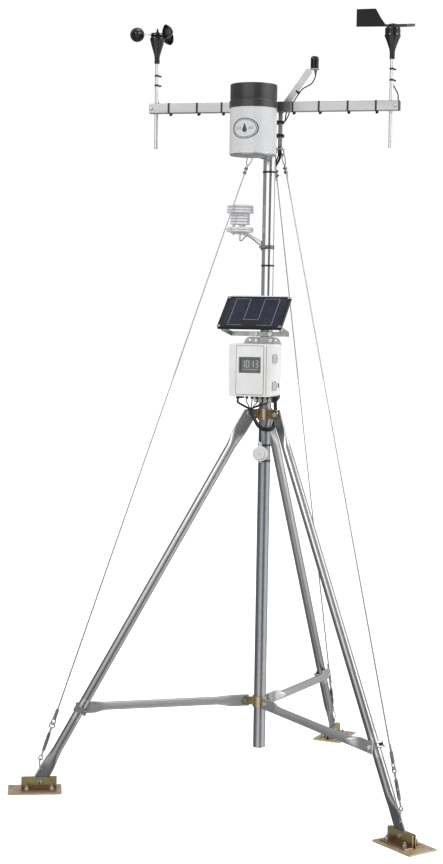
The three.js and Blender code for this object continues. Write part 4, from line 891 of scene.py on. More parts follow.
# ------------------------------------------------------------------ wind sensors
def ribs(count, depth, z0, z1):
    """Shallow upright flutes that fade out at both ends."""
    def reach(angle, z):
        t = min(max((z - z0) / (z1 - z0), 0), 1)
        return 1 - depth * math.sin(math.pi * t) ** 0.6 * (0.5 + 0.5 * math.cos(count * angle))
    return reach


def make_speed_sensor():
    """A fluted housing with three cups on a hub."""
    body = Shape().lathe([(6.65, 2455), (8.2, 2455), (8.6, 2455.6), (8.6, 2471), (8.9, 2476), (9.8, 2482),
                          (13.2, 2494), (17.2, 2507), (21, 2520), (23.6, 2530), (24.6, 2534), (24.8, 2537),
                          (24.2, 2540.4), (22.4, 2543), (20.6, 2545.2), (19.8, 2546), (4.3, 2546), (4.3, 2522),
                          (6.65, 2471)], SPEED_X, ARM_Y, 64, ribs(8, .09, 2474, 2536))
    body.done("speed_housing", ON_MAST, BLACK, ["anemometer_body"], sharp=50)
    Shape().lathe([(8.8, 2461), (9.5, 2461.5), (9.5, 2464.5), (8.8, 2465)], SPEED_X,
                  ARM_Y).done("speed_housing_band", ON_MAST, TIE)
    hub = Shape().lathe([(0, 2524), (3.9, 2524), (3.9, 2547), (22.9, 2547), (23.5, 2547.6), (23.5, 2550),
        (22.6, 2551), (22.6, 2553), (23.2, 2554), (22.6, 2556), (9, 2557), (6, 2559), (4.2, 2563), (2.6, 2571),
        (0, 2573.5)], SPEED_X, ARM_Y)
    hub.done("cup_hub", (STATION, "rotor"), BLACK, ["cup_rotor"], sharp=45)
    centre = STATION @ shift(SPEED_X, ARM_Y, 2552)
    for i, bearing in enumerate((192, 312, 72)):
        place = centre @ turn(bearing)
        cup = Shape().lathe([(0, -28), (2.5, -27.6), (6, -26), (11, -22.6), (16, -17.6), (20, -11.6),
            (22.6, -5.5), (23.8, -.8), (24.3, -.4), (24.3, .6), (23.6, .9), (22.4, -.2), (21.2, -6),
            (18.7, -11.7), (14.9, -17), (10.2, -21.4), (5.4, -24.4), (2.2, -25.6), (0, -26)], sides=48)
        cup.done(f"cup_{i}", (place @ shift(68.4, -4, 0) @ turn(90, "X"), "rotor"), BLACK, sharp=45)
        arm = Shape().rod(1.7, (20, 0, 0), (45.2, 0, 0), 14).rod(3.4, (20, 0, 0), (26, 0, 0), 18, .5)
        arm.rod(2.6, (40.5, 0, 0), (45.4, 0, 0), 16, .5)
        arm.done(f"cup_arm_{i}", (place, "rotor"), BRIGHT)


def make_direction_sensor():
    """A fluted housing with a fin, a stem and a counterweight."""
    x, y = DIRECTION_X, ARM_Y
    body = Shape().lathe([(6.65, 2455), (8.2, 2455), (8.6, 2455.6), (8.6, 2472), (9.2, 2480), (11, 2488),
        (14, 2497), (17.4, 2506), (21, 2515), (24.4, 2523), (26.2, 2527), (26.6, 2530), (26, 2533.4),
        (25, 2535.4), (25, 2551), (24.4, 2554.6), (23.4, 2556), (4.3, 2556), (4.3, 2532), (6.65, 2471)], x, y,
        64, ribs(8, .1, 2477, 2530))
    body.done("direction_housing", ON_MAST, BLACK, ["vane_body"], sharp=50)
    for i, z in enumerate((2539, 2544, 2549)):
        Shape().lathe([(24.8, z), (25.6, z + .4), (25.6, z + 1.4), (24.8, z + 1.8)], x,
                      y).done(f"direction_housing_rib_{i}", ON_MAST, BLACK)
    back = y + ROD_LEAD
    boss = Shape().rod(4.2, (x, back, 2452), (x, back, 2470), 18, .8)
    boss.rod(3.2, (x, back, 2446), (x, back, 2452.4), 16, .5)
    boss.done("direction_cable_boss", ON_MAST, GREY_BOSS)
    boss = Shape().rod(4.0, (SPEED_X, back, 2452), (SPEED_X, back, 2468), 18, .8)
    boss.done("speed_cable_boss", ON_MAST, GREY_BOSS)
    where = (STATION @ shift(x, y, 0), "vane")
    hub = Shape().lathe([(0, 2534), (3.9, 2534), (3.9, 2556.6), (12.4, 2556.6), (13, 2557.2), (13, 2566.6),
                         (12, 2568), (9, 2568.4), (0, 2568.6)])
    hub.done("vane_hub", where, BLACK, ["wind_vane"], sharp=45)
    Shape().lathe([(0, 2568.4), (4.6, 2568.4), (4.4, 2570.4), (3, 2572.2), (0, 2573)],
                  sides=32).done("vane_cap", where, BRIGHT, sharp=60)
    fin = Shape().prism([(-120, 2562), (-30, 2560.5), (-8, 2559), (-8, 2566), (-25, 2568.5), (-40, 2590),
                         (-55.5, 2617.4), (-58, 2619.2), (-120, 2619)], -1.5, 1.5)
    fin.done("vane_fin", where, FIN, bevel=.5)
    stem = Shape().prism([(-30, 2561), (-8, 2559.5), (5, 2559), (5, 2566), (-8, 2567), (-26, 2567.4)], -4, 4)
    stem.prism([(5, 2557.6), (46, 2558.2), (46, 2567.2), (5, 2567.4)], -4.4, 4.4)
    stem.done("vane_stem", where, BLACK, bevel=1.4)
    weight = Shape()
    for i in range(5):
        weight.prism([(46 + i * 5, 2558 + i * .15), (50.4 + i * 5, 2558.2 + i * .15), (50.8 + i * 5, 2567.3),
                      (46 + i * 5, 2567.4)], -5, 5)
    weight.prism([(45, 2559), (72, 2559.4), (73, 2566.6), (45, 2566.6)], -4.2, 4.2)
    weight.done("vane_counterweight", where, GREY_BOSS, bevel=.7)


# ------------------------------------------------------------------ rain gauge
def on_drum(points, radius):
    """Wraps a flat (sideways, height) outline round the gauge, facing the front."""
    return [(radius * math.sin(u / radius), -radius * math.cos(u / radius), z) for u, z in points]


def patch(outline, radius, thick, steps=24):
    """A thin label on the drum, as strips between its left and right edges."""
    left, right = min(p[0] for p in outline), max(p[0] for p in outline)
    rings = []
    for i in range(steps + 1):
        u = left + (right - left) * (0.5 - 0.5 * math.cos(math.pi * i / steps))
        u = min(max(u, left + 0.02), right - 0.02)
        heights = []
        for a, b in zip(outline, outline[1:] + outline[:1]):
            if (a[0] - u) * (b[0] - u) <= 0 and a[0] != b[0]:
                heights.append(a[1] + (b[1] - a[1]) * (u - a[0]) / (b[0] - a[0]))
        z0, z1 = min(heights), max(heights)
        z1 = max(z1, z0 + 0.05)
        inner, outer = on_drum([(u, z0), (u, z1)], radius), on_drum([(u, z0), (u, z1)], radius + thick)
        rings.append([inner[0], outer[0], outer[1], inner[1]])
    return Shape().skin(rings)


def make_gauge():
    """The white drum with its dark funnel, a generic label and the bracket behind it."""
    place = STATION @ shift(GAUGE_X, GAUGE_Y, 0)
    where = (place, "frame")
    housing = Shape().lathe([(74.9, 2138), (76.2, 2138), (77.2, 2138.8), (77.4, 2140.2), (GAUGE_R, 2141.6),
                             (GAUGE_R, 2143), (GAUGE_R, 2285), (76.4, 2288), (74.9, 2288)], sides=96)
    housing.done("gauge_drum", where, WHITE, ["gauge_housing"], sharp=40)
    funnel = Shape().lathe([(75.2, 2288.4), (78.8, 2288.4), (79.3, 2289), (79.3, 2307), (79, 2309.6),
        (77.2, 2311.8), (76.3, 2312.6), (76.3, 2316.6), (77, 2317.6), (77, 2320), (77, 2360), (76.4, 2364),
        (74.9, 2364), (74.4, 2362.6), (74.4, 2334), (5, 2276), (5, 2262), (7.5, 2262), (7.5, 2273),
        (75.2, 2330)], sides=96)
    funnel.done("gauge_rim", where, COLLAR, ["gauge_funnel"], sharp=32)
    Shape().lathe([(78.9, 2297.6), (79.5, 2298.2), (79.5, 2298.8), (78.9, 2299.4)],
                  sides=96).done("gauge_rim_seam", where, COLLAR)
    middle, height, wide, tall = -12, 2217, 47, 33
    oval = [polar(1, a) for a in range(0, 360, 6)]
    patch([(middle + wide * x, height + tall * z) for x, z in oval], GAUGE_R + .05, .35).done(
        "gauge_label", where, LABEL, sharp=60)
    for i, (outer, inner) in enumerate(((1.0, .925), (.86, .82))):
        rings = [[on_drum([(middle + wide * k * x, height + tall * k * z)], GAUGE_R + h)[0]
                  for k, h in ((outer, .3), (outer, .75), (inner, .75), (inner, .3))] for x, z in oval]
        Shape().skin(rings, wrap=True).done(f"gauge_label_line_{i}", where, LABEL_INK, sharp=60)
    drop = [(middle + 8 * math.sin(a), height - 5 - 8 * math.cos(a)) for a in
            (math.radians(-130 + 10 * i) for i in range(27))]
    drop += [(middle + 2.2, height + 12), (middle, height + 16), (middle - 2.2, height + 12)]
    patch(drop, GAUGE_R + .35, .4).done("gauge_label_drop", where, LABEL_INK, sharp=60)
    waves = Shape()
    for side in (-1, 1):
        for k in range(3):
            x = middle + side * (15 + k * 6)
            stroke = [(x - 1.5, height - 4), (x, height + 1), (x + 1.5, height + 6)]
            waves.wire(on_drum(stroke, GAUGE_R + .5), .7, 6)
    waves.done("gauge_label_strokes", where, LABEL_INK, sharp=60)
    screws = Shape()
    for a in (-64, -22, 20, 62, 122, 180, 238):
        d = Vector((math.sin(math.radians(a)), -math.cos(math.radians(a)), 0))
        at = d * GAUGE_R + Vector((0, 0, 2145))
        screws.rod(2.6, at, at + d * 1.6, 18, .5).rod(1.1, at + d * 1.4, at + d * 1.9, 6)
    screws.done("gauge_screws", where, SATIN, sharp=40)
    floor = Shape().rod(74.6, (0, 0, 2135), (0, 0, 2143), 96, .5)
    floor.prism(rounded(13, 41, 0, 84.5, 1.5), 2132, 2137.7, "XY")
    floor.prism(rounded(13, 41, 2132, ARM_Z + 14, 1.5), 80.5, 84.5)
    floor.prism(rounded(13, 41, ARM_Z - 14, ARM_Z + 14, 1.5), 84, 86.5)
    for y in (-24, 20):
        floor.box(-4, 4, y, y + 4, 2142, 2213)
    for x in (-33, 33):
        floor.rod(2.5, (x, 0, 2142), (x, 0, 2215.2), 14, .4)
    floor.done("gauge_bracket", where, ALUMINIUM, ["gauge_base"], bevel=.4)
    posts = Shape()
    for y in (-24, 20):
        posts.prism(ear_outline(-3, 0, 0, 3.9), y, y + 4)
    posts.less(Shape().rod(2.4, (0, -40, 0), (0, 40, 0), 20))
    posts.done("gauge_bearings", (place @ shift(0, 0, 2215) @ turn(-90, "Y"), "frame"), ALUMINIUM, bevel=.3)
    grommet = Shape().rod(5.6, (-35, 76, 2166), (-35, 66, 2166), 20, 1)
    grommet.done("gauge_grommet", where, TIE, sharp=40)
    rail = Shape()
    for z in (2188, 2232):
        rail.box(12, 42, 79.6, 86, z - 4, z + 4)
    rail.done("gauge_bracket_bands", where, TIE, bevel=.5)
    nuts = Shape()
    for x, z in ((20, 2291), (34, 2319), (20, 2319), (34, 2291)):
        nuts.rod(5.6, (x, 80.5, z), (x, 79.3, z), 20, .3).rod(4.8, (x, 79.3, z), (x, 75.9, z), 6, .5)
    nuts.done("gauge_bracket_nuts", where, BRIGHT, sharp=30)


# ------------------------------------------------------------------ light sensor
def make_light_sensor():
    """A ribbed head on a slanted arm, with the channel that clamps it to the mast."""
    z0 = LIGHT_Z
    profile = [(0, z0), (13.4, z0), (14, z0 + .6)]
    for rib in range(5):
        z = z0 + 4 + rib * 5.4
        profile += [(14, z), (12.7, z + .9), (12.7, z + 2), (14, z + 2.9)]
    profile += [(14, z0 + 32), (13.4, z0 + 35), (11.6, z0 + 38.4), (8, z0 + 41), (4, z0 + 42), (0, z0 + 42.1)]
    Shape().lathe(profile, LIGHT_X, 0).done("light_head", ON_MAST, BLACK, ["light_sensor"], sharp=38)
    Shape().lathe([(0, z0 + 41.6), (7.6, z0 + 41.2), (5, z0 + 42.6), (0, z0 + 43)], LIGHT_X, 0,
                  32).done("light_diffuser", ON_MAST, WHITE_PLASTIC, sharp=60)
    nub = Shape().rod(4.6, (150, 4, z0 - 4), (150, 4, z0 - 12), 18, .6).rod(
        3.4, (150, 4, z0 - 12), (150, 4, z0 - 19), 16)
    nub.done("light_cable_boss", ON_MAST, GREY_BOSS)
    section = [(-11, -12), (11, -12), (11, -9), (-7, -9), (-8, -8), (-8, 12), (-11, 12)]
    angle = Shape().prism(section, 4, 177, "XY")
    angle.done("light_arm_angle", (LIGHT_ARM, "frame"), ALUMINIUM, ["sensor_arm"], bevel=.4)
    shelf = Shape().prism(rounded(132, 161.5, -12.5, 12.5, 3), z0 - 3.4, z0 - .3, "XY")
    shelf.done("light_arm_shelf", ON_MAST, ALUMINIUM, bevel=.4)
    channel = Shape().box(30, 33, -12, 12, 2180, 2298).box(30, 44, -12, -9, 2180, 2296)
    channel.less(*[Shape().rod(3.2, (20, 2, z), (50, 2, z), 20) for z in (2192, 2236, 2280)])
    channel.done("light_arm_channel", ON_MAST, ALUMINIUM, bevel=.4)
    for i, z in enumerate((2215, 2259)):
        saddle(19, 30, -7, 7, z - 7, z + 7).done(f"light_arm_standoff_{i}", ON_MAST, ALUMINIUM, bevel=.4)
        band = Shape().strap([(0, 0, MAST_R), (42, -10, 2.4), (42, 9, 2.4)], z - 5, z + 5, .9)
        band.box(44, 49, -12, 2, z - 4, z + 4).rod(3.6, (46.6, -17, z), (46.6, -11, z), 6, .5)
        band.done(f"light_arm_clamp_{i}", ON_MAST, TIE, bevel=.3)


# ------------------------------------------------------------------ radiation shield
def dish(shape, z, radius, bore):
    """One of the shield's plates, with its rim turned down."""
    shape.lathe([(bore, z - 1.6), (bore, z), (radius - 9, z), (radius - 4.5, z - .7), (radius - 1.2, z - 3.2),
                 (radius, z - 8.2), (radius - .8, z - 8.8), (radius - 2, z - 6.6), (radius - 5.4, z - 2.6),
                 (radius - 9.4, z - 1.6)], sides=64)


def make_shield():
    """A stack of plates round the temperature probe, on a bracket."""
    where = (STATION @ shift(-98, 0, 0), "frame")
    stack = Shape().lathe([(0, 1987), (28, 1986), (38, 1984.8), (43, 1982.6), (45.6, 1979.4), (46, 1978.4),
                           (44.8, 1978), (42.2, 1980.6), (38, 1982.6), (0, 1983)], sides=64)
    for z in (1976, 1967):
        dish(stack, z, 46, 14)
    for z in (1957, 1947.5, 1938, 1928.5):
        dish(stack, z, 34.5, 14)
    for z in (1911, 1903):
        dish(stack, z, 46, 14)
    stack.done("shield_plates", where, SHIELD, ["radiation_shield"], sharp=40)
    posts = Shape()
    nuts = Shape()
    for a in (60, 180, 300):
        x, y = polar(22, a)
        posts.rod(2.6, (x, y, 1892), (x, y, 1984), 14)
        for z in (1895, 1904.5, 1912.5, 1930, 1939.5, 1949, 1958.6, 1968.6):
            posts.rod(4.4, (x, y, z), (x, y, z + 5), 16, .6)
        nuts.rod(4.6, (x, y, 1886), (x, y, 1889.6), 6, .5).rod(2.2, (x, y, 1883), (x, y, 1893), 12, .4)
    posts.done("shield_spacers", where, SHIELD, sharp=40)
    nuts.done("shield_nuts", where, BRIGHT, sharp=30)
    probe = Shape().lathe([(0, 1871.8), (3, 1871.8), (3.4, 1872.4), (3.4, 1880), (3.9, 1880.4), (3.9, 1892.2),
        (7, 1892.2), (7, 1895.6), (3.4, 1895.6), (3.4, 1942), (2.4, 1944.6), (0, 1945.4)], sides=24)
    probe.done("shield_probe", where, BRIGHT, ["temperature_probe"], sharp=40)
    z = 1890.2
    tray = Shape().prism(rounded(-125, -70, -26, 26, 5), z - 1.5, z + 1.5, "XY")
    tray.less(Shape().rod(4.2, (-98, 0, z - 9), (-98, 0, z + 9), 20))
    tray.done("shield_tray", ON_MAST, SATIN, ["shield_bracket"], bevel=.4)
    strip = Shape().prism([(-76, z + 1.4), (-70.6, z + 1.4), (-22.4, 1865.4), (-22.2, 1863.6), (-22.2, 1834),
                           (-25.2, 1834), (-25.2, 1862), (-71, z - 1.6), (-76, z - 1.6)], -9, 9)
    strip.prism([(-76, z + 1.4), (-70.6, z + 1.4), (-22.4, 1865.4), (-22.4, 1857), (-72, z - 6.4),
        (-76, z - 6.4)], -9.4, -6.4)
    strip.done("shield_strip", ON_MAST, SATIN, bevel=.4)
    band = Shape().strap([(0, 0, MAST_R), (-21, 0, 4.4)], 1836.5, 1850.5, .8)
    band.rod(4.6, (-2, -24.6, 1844), (-22, -24.6, 1844), 16, .8).box(-20, -6, -24, -20, 1839, 1849)
    band.rod(3.6, (-22, -24.6, 1844), (-25, -24.6, 1844), 6, .4)
    band.done("shield_hose_clamp", ON_MAST, FITTING, bevel=.2)


# ------------------------------------------------------------------ solar panel
def make_panel():
    """The framed cells with their silver lines, corner clips and lugs."""
    w, h = 111, 155
    rim = Shape().collar(rounded(-w, w, 0, h, 3), rounded(7 - w, w - 7, 7, h - 7, 1.5), -12, 0, "XY")
    rim.done("panel_rim", ON_PANEL, FRAME_BLACK, ["solar_panel"], bevel=.6)
    Shape().prism(rounded(5 - w, w - 5, 5, h - 5, 1.5), -6, -1.1, "XY").done("panel_glass", ON_PANEL, CELLS)
    Shape().prism(rounded(5 - w, w - 5, 5, h - 5, 1.5), -8.5, -6.1, "XY").done("panel_back", ON_PANEL, IVORY)
    lines = Shape()
    columns, top, link, tail = (-76.5, -27, 23.5, 74.5), 144, 38, 11
    for x, y in zip(columns, (tail, link, link, tail)):
        lines.box(x - .9, x + .9, y, top, -1.05, -.75)
    for x0, x1, y in ((columns[0], columns[1], top), (columns[1], columns[2], link), (columns[2], columns[3],
            top), (columns[0], columns[1] - 1, tail), (columns[2] + 1, columns[3], tail)):
        lines.box(x0 - .9, x1 + .9, y - .9, y + .9, -1.05, -.75)
    lines.done("panel_lines", ON_PANEL, SILVER_INK)
    outer, inner = rounded(5 - w, w - 5, 5, h - 5, 1.5), rounded(17 - w, w - 17, 7, h - 7, 1.5)
    border = Shape().collar(outer, inner, -1.15, -.95, "XY")
    border.box(columns[1] - 8, columns[2] + 10, 12, 34, -1.15, -.95)
    border.done("panel_border", ON_PANEL, FRAME_BLACK)
    clips = Shape()
    for x in (-w, w):
        for y in (0, h):
            sx, sy = (1 if x < 0 else -1), (1 if y == 0 else -1)
            clips.box(*sorted((x - sx * .5, x + sx * 11)), *sorted((y - sy * .5, y + sy * 9)), -.1, .7)
            clips.rod(2, (x + sx * 6, y + sy * 4.5, .6), (x + sx * 6, y + sy * 4.5, 1.5), 14, .3)
    clips.done("panel_clips", ON_PANEL, BRIGHT, bevel=.2)
    Shape().box(-w + 14, w - 8, h - .8, h + 4.4, -11.5, .6).done("panel_top_strip", ON_PANEL, WHITE, bevel=.3)
    Shape().box(-30, 10, 86, 116, -15.5, -8.4).done("panel_junction_box", ON_PANEL, TIE, bevel=1.5)
    lugs = Shape()
    for x in (-97.2, 97.7):
        outline = [(8, -3), *bow(16, -22, 8, 180, 180, 12), (24, -3)]
        lugs.prism(outline, x, x + 3, "YZ").less(Shape().rod(3.5, (x - 5, 16, -22), (x + 8, 16, -22), 20))
        lugs.box(x - 9 if x < 0 else x + .2, x + 2.8 if x < 0 else x + 12, 8, 24, -14, -11.9)
    lugs.done("panel_lugs", ON_PANEL, BRIGHT, bevel=.3)


def make_panel_bracket():
    """Two arms with pivots, clamped to the mast."""
    tilt = math.radians(PANEL_TILT)
    pivot_y = PANEL_Y + 16 * math.cos(tilt) + 22 * math.sin(tilt)
    pivot_z = PANEL_Z + 16 * math.sin(tilt) - 22 * math.cos(tilt)
    left, right = -114.5, 90
    z0, z1 = PANEL_BAR
    middle = (z0 + z1) / 2
    arms = Shape().box(left, right, -37, -34, z0, z1)
    for x in (left, right - 3):
        arms.prism([(-34, z0), (-34, z1), *bow(pivot_y, pivot_z, 9, 90, 180, 12)], x, x + 3, "YZ")
    arms.done("panel_arms", ON_FRONT, GALVANISED, ["panel_bracket"], bevel=.5)
    pins = Shape()
    for inner, out in ((left + 8, left), (right - 8, right)):
        s = 1 if out < 0 else -1
        pins.rod(3, (out - s, pivot_y, pivot_z), (inner + s * 2.4, pivot_y, pivot_z), 16, .4)
        pins.rod(6.4, (out - s * 4.4, pivot_y, pivot_z), (out, pivot_y, pivot_z), 6, .7)
    pins.done("panel_pivots", ON_FRONT, BRIGHT, sharp=30)
    saddle(-14, 14, -34, -16, z0, z1).done("panel_saddle", ON_FRONT, ALUMINIUM, bevel=.4)
    u_bolt(middle, -46, 3.2).done("panel_u_bolt", ON_FRONT, WEATHERED, sharp=40)
    u_bolt_nuts("panel_u_bolt", middle, -37, 3.4, ON_FRONT)


# ------------------------------------------------------------------ enclosure
CASE_LEFT, CASE_RIGHT, CASE_BOTTOM, CASE_TOP = -86, 61.5, 1346, 1520
CASE_BACK, CASE_SPLIT, CASE_FRONT = -30, -112, -140
HINGES = ((1360, 1417), (1454, 1510))
HINGE_X, LATCH_X, LATCH_Y = -90, 64.5, -126
LATCHES = {"lower": (1370, 1393), "upper": (1460, 1483)}


def inset(depth, radius):
    """The enclosure's outline, drawn in by a depth."""
    return rounded(CASE_LEFT + depth, CASE_RIGHT - depth, CASE_BOTTOM + depth, CASE_TOP - depth, radius)


def shell(y_open, y_shut, wall=3.0, ease=1.6, radius=8):
    """Half of the enclosure, closed at y_shut and open at y_open."""
    outer, inner, small = inset(0, radius), inset(wall, radius - wall), inset(ease, radius - ease)
    s = 1 if y_open > y_shut else -1
    outside = [(outer, y_open), (outer, y_shut + s * ease), (small, y_shut)]
    inside = [(inner, y_open), (inner, y_shut + s * wall)]
    shape = Shape()
    for loops in (outside, inside):
        shape.skin([raised(*loop) for loop in loops], cap=False)
        shape.bm.faces.new([shape.bm.verts.new(p) for p in raised(*loops[-1])])
    return shape.skin([raised(outer, y_open), raised(inner, y_open)], cap=False)


def make_enclosure():
    """The case with its glands and hinges, the door with its window, and two latches."""
    shell(CASE_SPLIT, CASE_BACK).done("case_shell", ON_FRONT, IVORY, ["enclosure_case"], sharp=40)
    Shape().collar(inset(3.4, 5), inset(4.6, 4), -113.5, -106).done("case_lip", ON_FRONT, TIE)
    Shape().collar(inset(.7, 7), inset(3.6, 5), -113.6, -112).done("case_seal", ON_FRONT, SEAL_AND_SHADE)
    # Dark patches on the case's side behind the latches: painted shadow of the latches.
    shadow_pads = Shape()
    for z0, z1 in ((1366, 1397), (1456, 1487)):
        shadow_pads.prism(rounded(-111.5, -82, z0, z1, 3), 61.4, 62, "YZ")
    shadow_pads.done("case_latch_shadow_pads", ON_FRONT, SEAL_AND_SHADE)
    bosses = Shape()
    for x, z in ((-60, 1370), (50, 1370), (-60, 1500), (50, 1500)):
        bosses.rod(6, (x, -31, z), (x, -27.3, z), 20, .4)
    bosses.done("case_bosses", ON_FRONT, IVORY)
    glands = Shape()
    for x, y, r in [(x, GLAND_Y, 6.2) for x in GLANDS] + [(*RAIN_GLAND, 8.2)]:
        glands.rod(r, (x, y, 1346.4), (x, y, 1343.4), 6, .5)
        glands.rod(r * .86, (x, y, 1343.6), (x, y, 1337.4), 24, .8)
        for px, py in bow(x, y, r * .84, 0, 330, 11):
            glands.rod(.7, (px, py, 1342.6), (px, py, 1338.4), 6)
        glands.rod(r * .72, (x, y, 1337.6), (x, y, 1334), 20, 1.2, r * .5)
    glands.done("case_glands", ON_FRONT, TIE, sharp=40)
    hinges, pins = Shape(), Shape()
    for z0, z1 in HINGES:
        for a, b in ((z0, z0 + 14), (z1 - 14, z1)):
            hinges.rod(3.6, (HINGE_X, CASE_SPLIT, a), (HINGE_X, CASE_SPLIT, b), 24, .4)
            hinges.box(HINGE_X, -85, -111.7, -108, a, b)
        pins.rod(1.6, (HINGE_X, CASE_SPLIT, z0 - .6), (HINGE_X, CASE_SPLIT, z1 + .6), 14, .3)
        pins.rod(2.6, (HINGE_X, CASE_SPLIT, z1), (HINGE_X, CASE_SPLIT, z1 + 1.6), 14, .4)
    hinges.done("case_hinges", ON_FRONT, HINGE, bevel=.3)
    pins.done("case_hinge_pins", ON_FRONT, BRIGHT)
    vent = Shape().rod(4.2, (61.3, -56, 1382), (63.4, -56, 1382), 20, .5)
    vent.box(61.4, 63, -60.4, -51.6, 1375, 1389)
    vent.done("case_vent", ON_FRONT, TIE, bevel=.4)
    foot_block = Shape().prism(rounded(-78, -60, 1336, 1346, 2), -62, -44)
    foot_block.done("case_foot", ON_FRONT, TIE, bevel=.6)
    window = Shape().box(-49, 23, -150, -130, 1426, 1475)
    shell(CASE_SPLIT - 1.3, CASE_FRONT).less(window).done("door_shell", ON_DOOR, IVORY, ["enclosure_door"],
                                                          sharp=40)
    panel = Shape().collar(rounded(-59, 34, 1353, 1513, 4), rounded(-51, 25, 1424, 1477, 2), -141.5, -139.4)
    panel.done("door_panel", ON_DOOR, IVORY, bevel=.6)
    # A darker ring round the door panel and a line to its right: painted shade along the panel's edges.
    outer, inner = rounded(-61, 36, 1351, 1515, 5), rounded(-58.4, 33.4, 1353.6, 1512.4, 3.6)
    shade_line = Shape().collar(outer, inner, -140.25, -139.6)
    shade_line.box(43, 45, -140.2, -139.6, 1352, 1514)
    shade_line.done("door_painted_edge_shade", ON_DOOR, SEAL_AND_SHADE)
    rim = Shape().collar(rounded(-51, 25, 1424, 1477, 2), rounded(-46, 20, 1429, 1472, 1.5), -140.9, -136.2)
    rim.done("door_window_rim", ON_DOOR, BEZEL, bevel=.4)
    leaves = Shape()
    for z0, z1 in HINGES:
        a, b = z0 + 14.4, z1 - 14.4
        leaves.lathe([(2.1, a), (3.2, a), (3.6, a + .4), (3.6, b - .4), (3.2, b), (2.1, b)], HINGE_X,
                     CASE_SPLIT, 24)
        leaves.box(-87.6, -85, -116.3, -112.5, a, b)
    leaves.done("door_hinges", ON_DOOR, HINGE, bevel=.3)
    lugs = Shape()
    for z0, z1 in LATCHES.values():
        for a, b in ((z0 - 5, z0 - .3), (z1 + .3, z1 + 5)):
            lugs.prism(rounded(60.8, 67.5, -130, -122, 2), a, b, "XY")
        lugs.rod(1.5, (LATCH_X, LATCH_Y, z0 - 2), (LATCH_X, LATCH_Y, z1 + 2), 12)
    lugs.done("door_latch_lugs", ON_DOOR, IVORY, bevel=.4)
    for which, (z0, z1) in LATCHES.items():
        lever = Shape().rod(2.6, (LATCH_X, LATCH_Y, z0), (LATCH_X, LATCH_Y, z1), 24, .3).less(
            Shape().rod(1.9, (LATCH_X, LATCH_Y, z0 - 4), (LATCH_X, LATCH_Y, z1 + 4), 16))
        lever.prism([(62.6, -124), (67.1, -124), (67.1, -95), (66.2, -92), (68, -88), (67, -86), (61.9, -86),
                     (61.9, -120)], z0, z1, "XY")
        for i in range(4):
            lever.box(66.6, 67.7, -96 - i * 5, -94 - i * 5, z0 + 2.5, z1 - 2.5)
        lever.done(f"latch_{which}_lever", (FACING, f"latch_{which}"), HINGE, [f"latch_{which}"], bevel=.5)


def seven_segment(shape, digit, x, z, w=12.8, h=27, t=4.0):
    """One digit of the display, as raised bars."""
    on = {"0": "abcdef", "1": "bc", "2": "abged", "3": "abgcd", "4": "fgbc", "5": "afgcd", "6": "afgedc",
          "7": "abc", "8": "abcdefg", "9": "abcdfg"}[digit]
    bars = {"a": (t, w - t, h - t, h), "g": (t, w - t, h / 2 - t / 2, h / 2 + t / 2), "d": (t, w - t, 0, t),
            "f": (0, t, h / 2, h - t / 2), "b": (w - t, w, h / 2, h - t / 2), "e": (0, t, t / 2, h / 2),
            "c": (w - t, w, t / 2, h / 2)}
    for key in on:
        x0, x1, z0, z1 = bars[key]
        shape.box(x + x0, x + x1, -137.1, -136.5, z + z0 + .3, z + z1 - .3)


def make_logger():
    """The display with its digits, and the board inside."""
    Shape().prism(rounded(-48, 22, 1427, 1474, 2), -135.8, -99).done("logger_display", ON_FRONT, BEZEL,
                                                                     ["logger_module"], bevel=.5)
    Shape().prism(rounded(-44.5, 18.5, 1430.5, 1470.5, 1.5), -136.6, -135.6).done("logger_glass", ON_FRONT,
                                                                                  GLASS)
    digits = Shape()
    for i, digit in enumerate("1013"):
        seven_segment(digits, digit, -43 + i * 15.2, 1440.5)
    for i in range(9):
        digits.box(-38 + i * 6, -34.6 + i * 6, -137, -136.5, 1433, 1437)
    digits.done("logger_digits", ON_FRONT, DIGIT)
    board = Shape().prism(rounded(-60, 40, 1400, 1508, 3), -64, -60)
    for x0, x1, z0, z1, d in ((-56, -30, 1404, 1412, 12), (-26, 36, 1404, 1412, 12), (-54, -40, 1480, 1500, 8),
                              (-32, -8, 1482, 1504, 5), (4, 34, 1484, 1500, 16), (-56, -52, 1420, 1470, 9),
                              (30, 37, 1418, 1470, 10)):
        board.box(x0, x1, -64 - d, -63.5, z0, z1)
    board.box(-44, 18, -100, -63.5, 1428, 1473)
    for x, z in ((-52, 1408), (32, 1408), (-52, 1500), (32, 1500)):
        board.rod(3, (x, -61, z), (x, -33.3, z), 16)
    board.done("logger_board", ON_FRONT, BOARD, bevel=.4)


def make_mounting():
    """The plate behind the enclosure, clamped to the mast at both ends."""
    outline = [(-71, 1341), (-32, 1341), (-32, 1322), (32, 1322), (32, 1341), (60, 1341)]
    outline += [*bow(36, 1519, 24, 0, 90, 6), *bow(-47, 1519, 24, 90, 90, 6)]
    plate = Shape().prism(outline, -27, -24)
    plate.less(*[Shape().rod(3.6, (x, -40, z), (x, 0, z), 18) for x in (-50, 42) for z in (1352, 1532)])
    plate.done("mounting_back_plate", ON_FRONT, SATIN, ["mounting_plate"], bevel=.4)
    for i, z in enumerate((1331, 1531)):
        saddle(-14, 14, -24, -15, z - 7, z + 7).done(f"mounting_saddle_{i}", ON_FRONT, ALUMINIUM, bevel=.4)
        u_bolt(z, -37, 3.2).done(f"mounting_u_bolt_{i}", ON_FRONT, WEATHERED, sharp=40)
        u_bolt_nuts(f"mounting_u_bolt_{i}", z, -27, 3.6, ON_FRONT)
    wedge = Shape().prism([(34, 1341), (60, 1341), (60, 1345.4), (34, 1345.4)], -64, -24)
    wedge.prism([(36, 1322), (50, 1326), (60, 1341), (36, 1341)], -40, -24)
    wedge.done("mounting_wedge", ON_FRONT, FRAME_BLACK, bevel=.6)


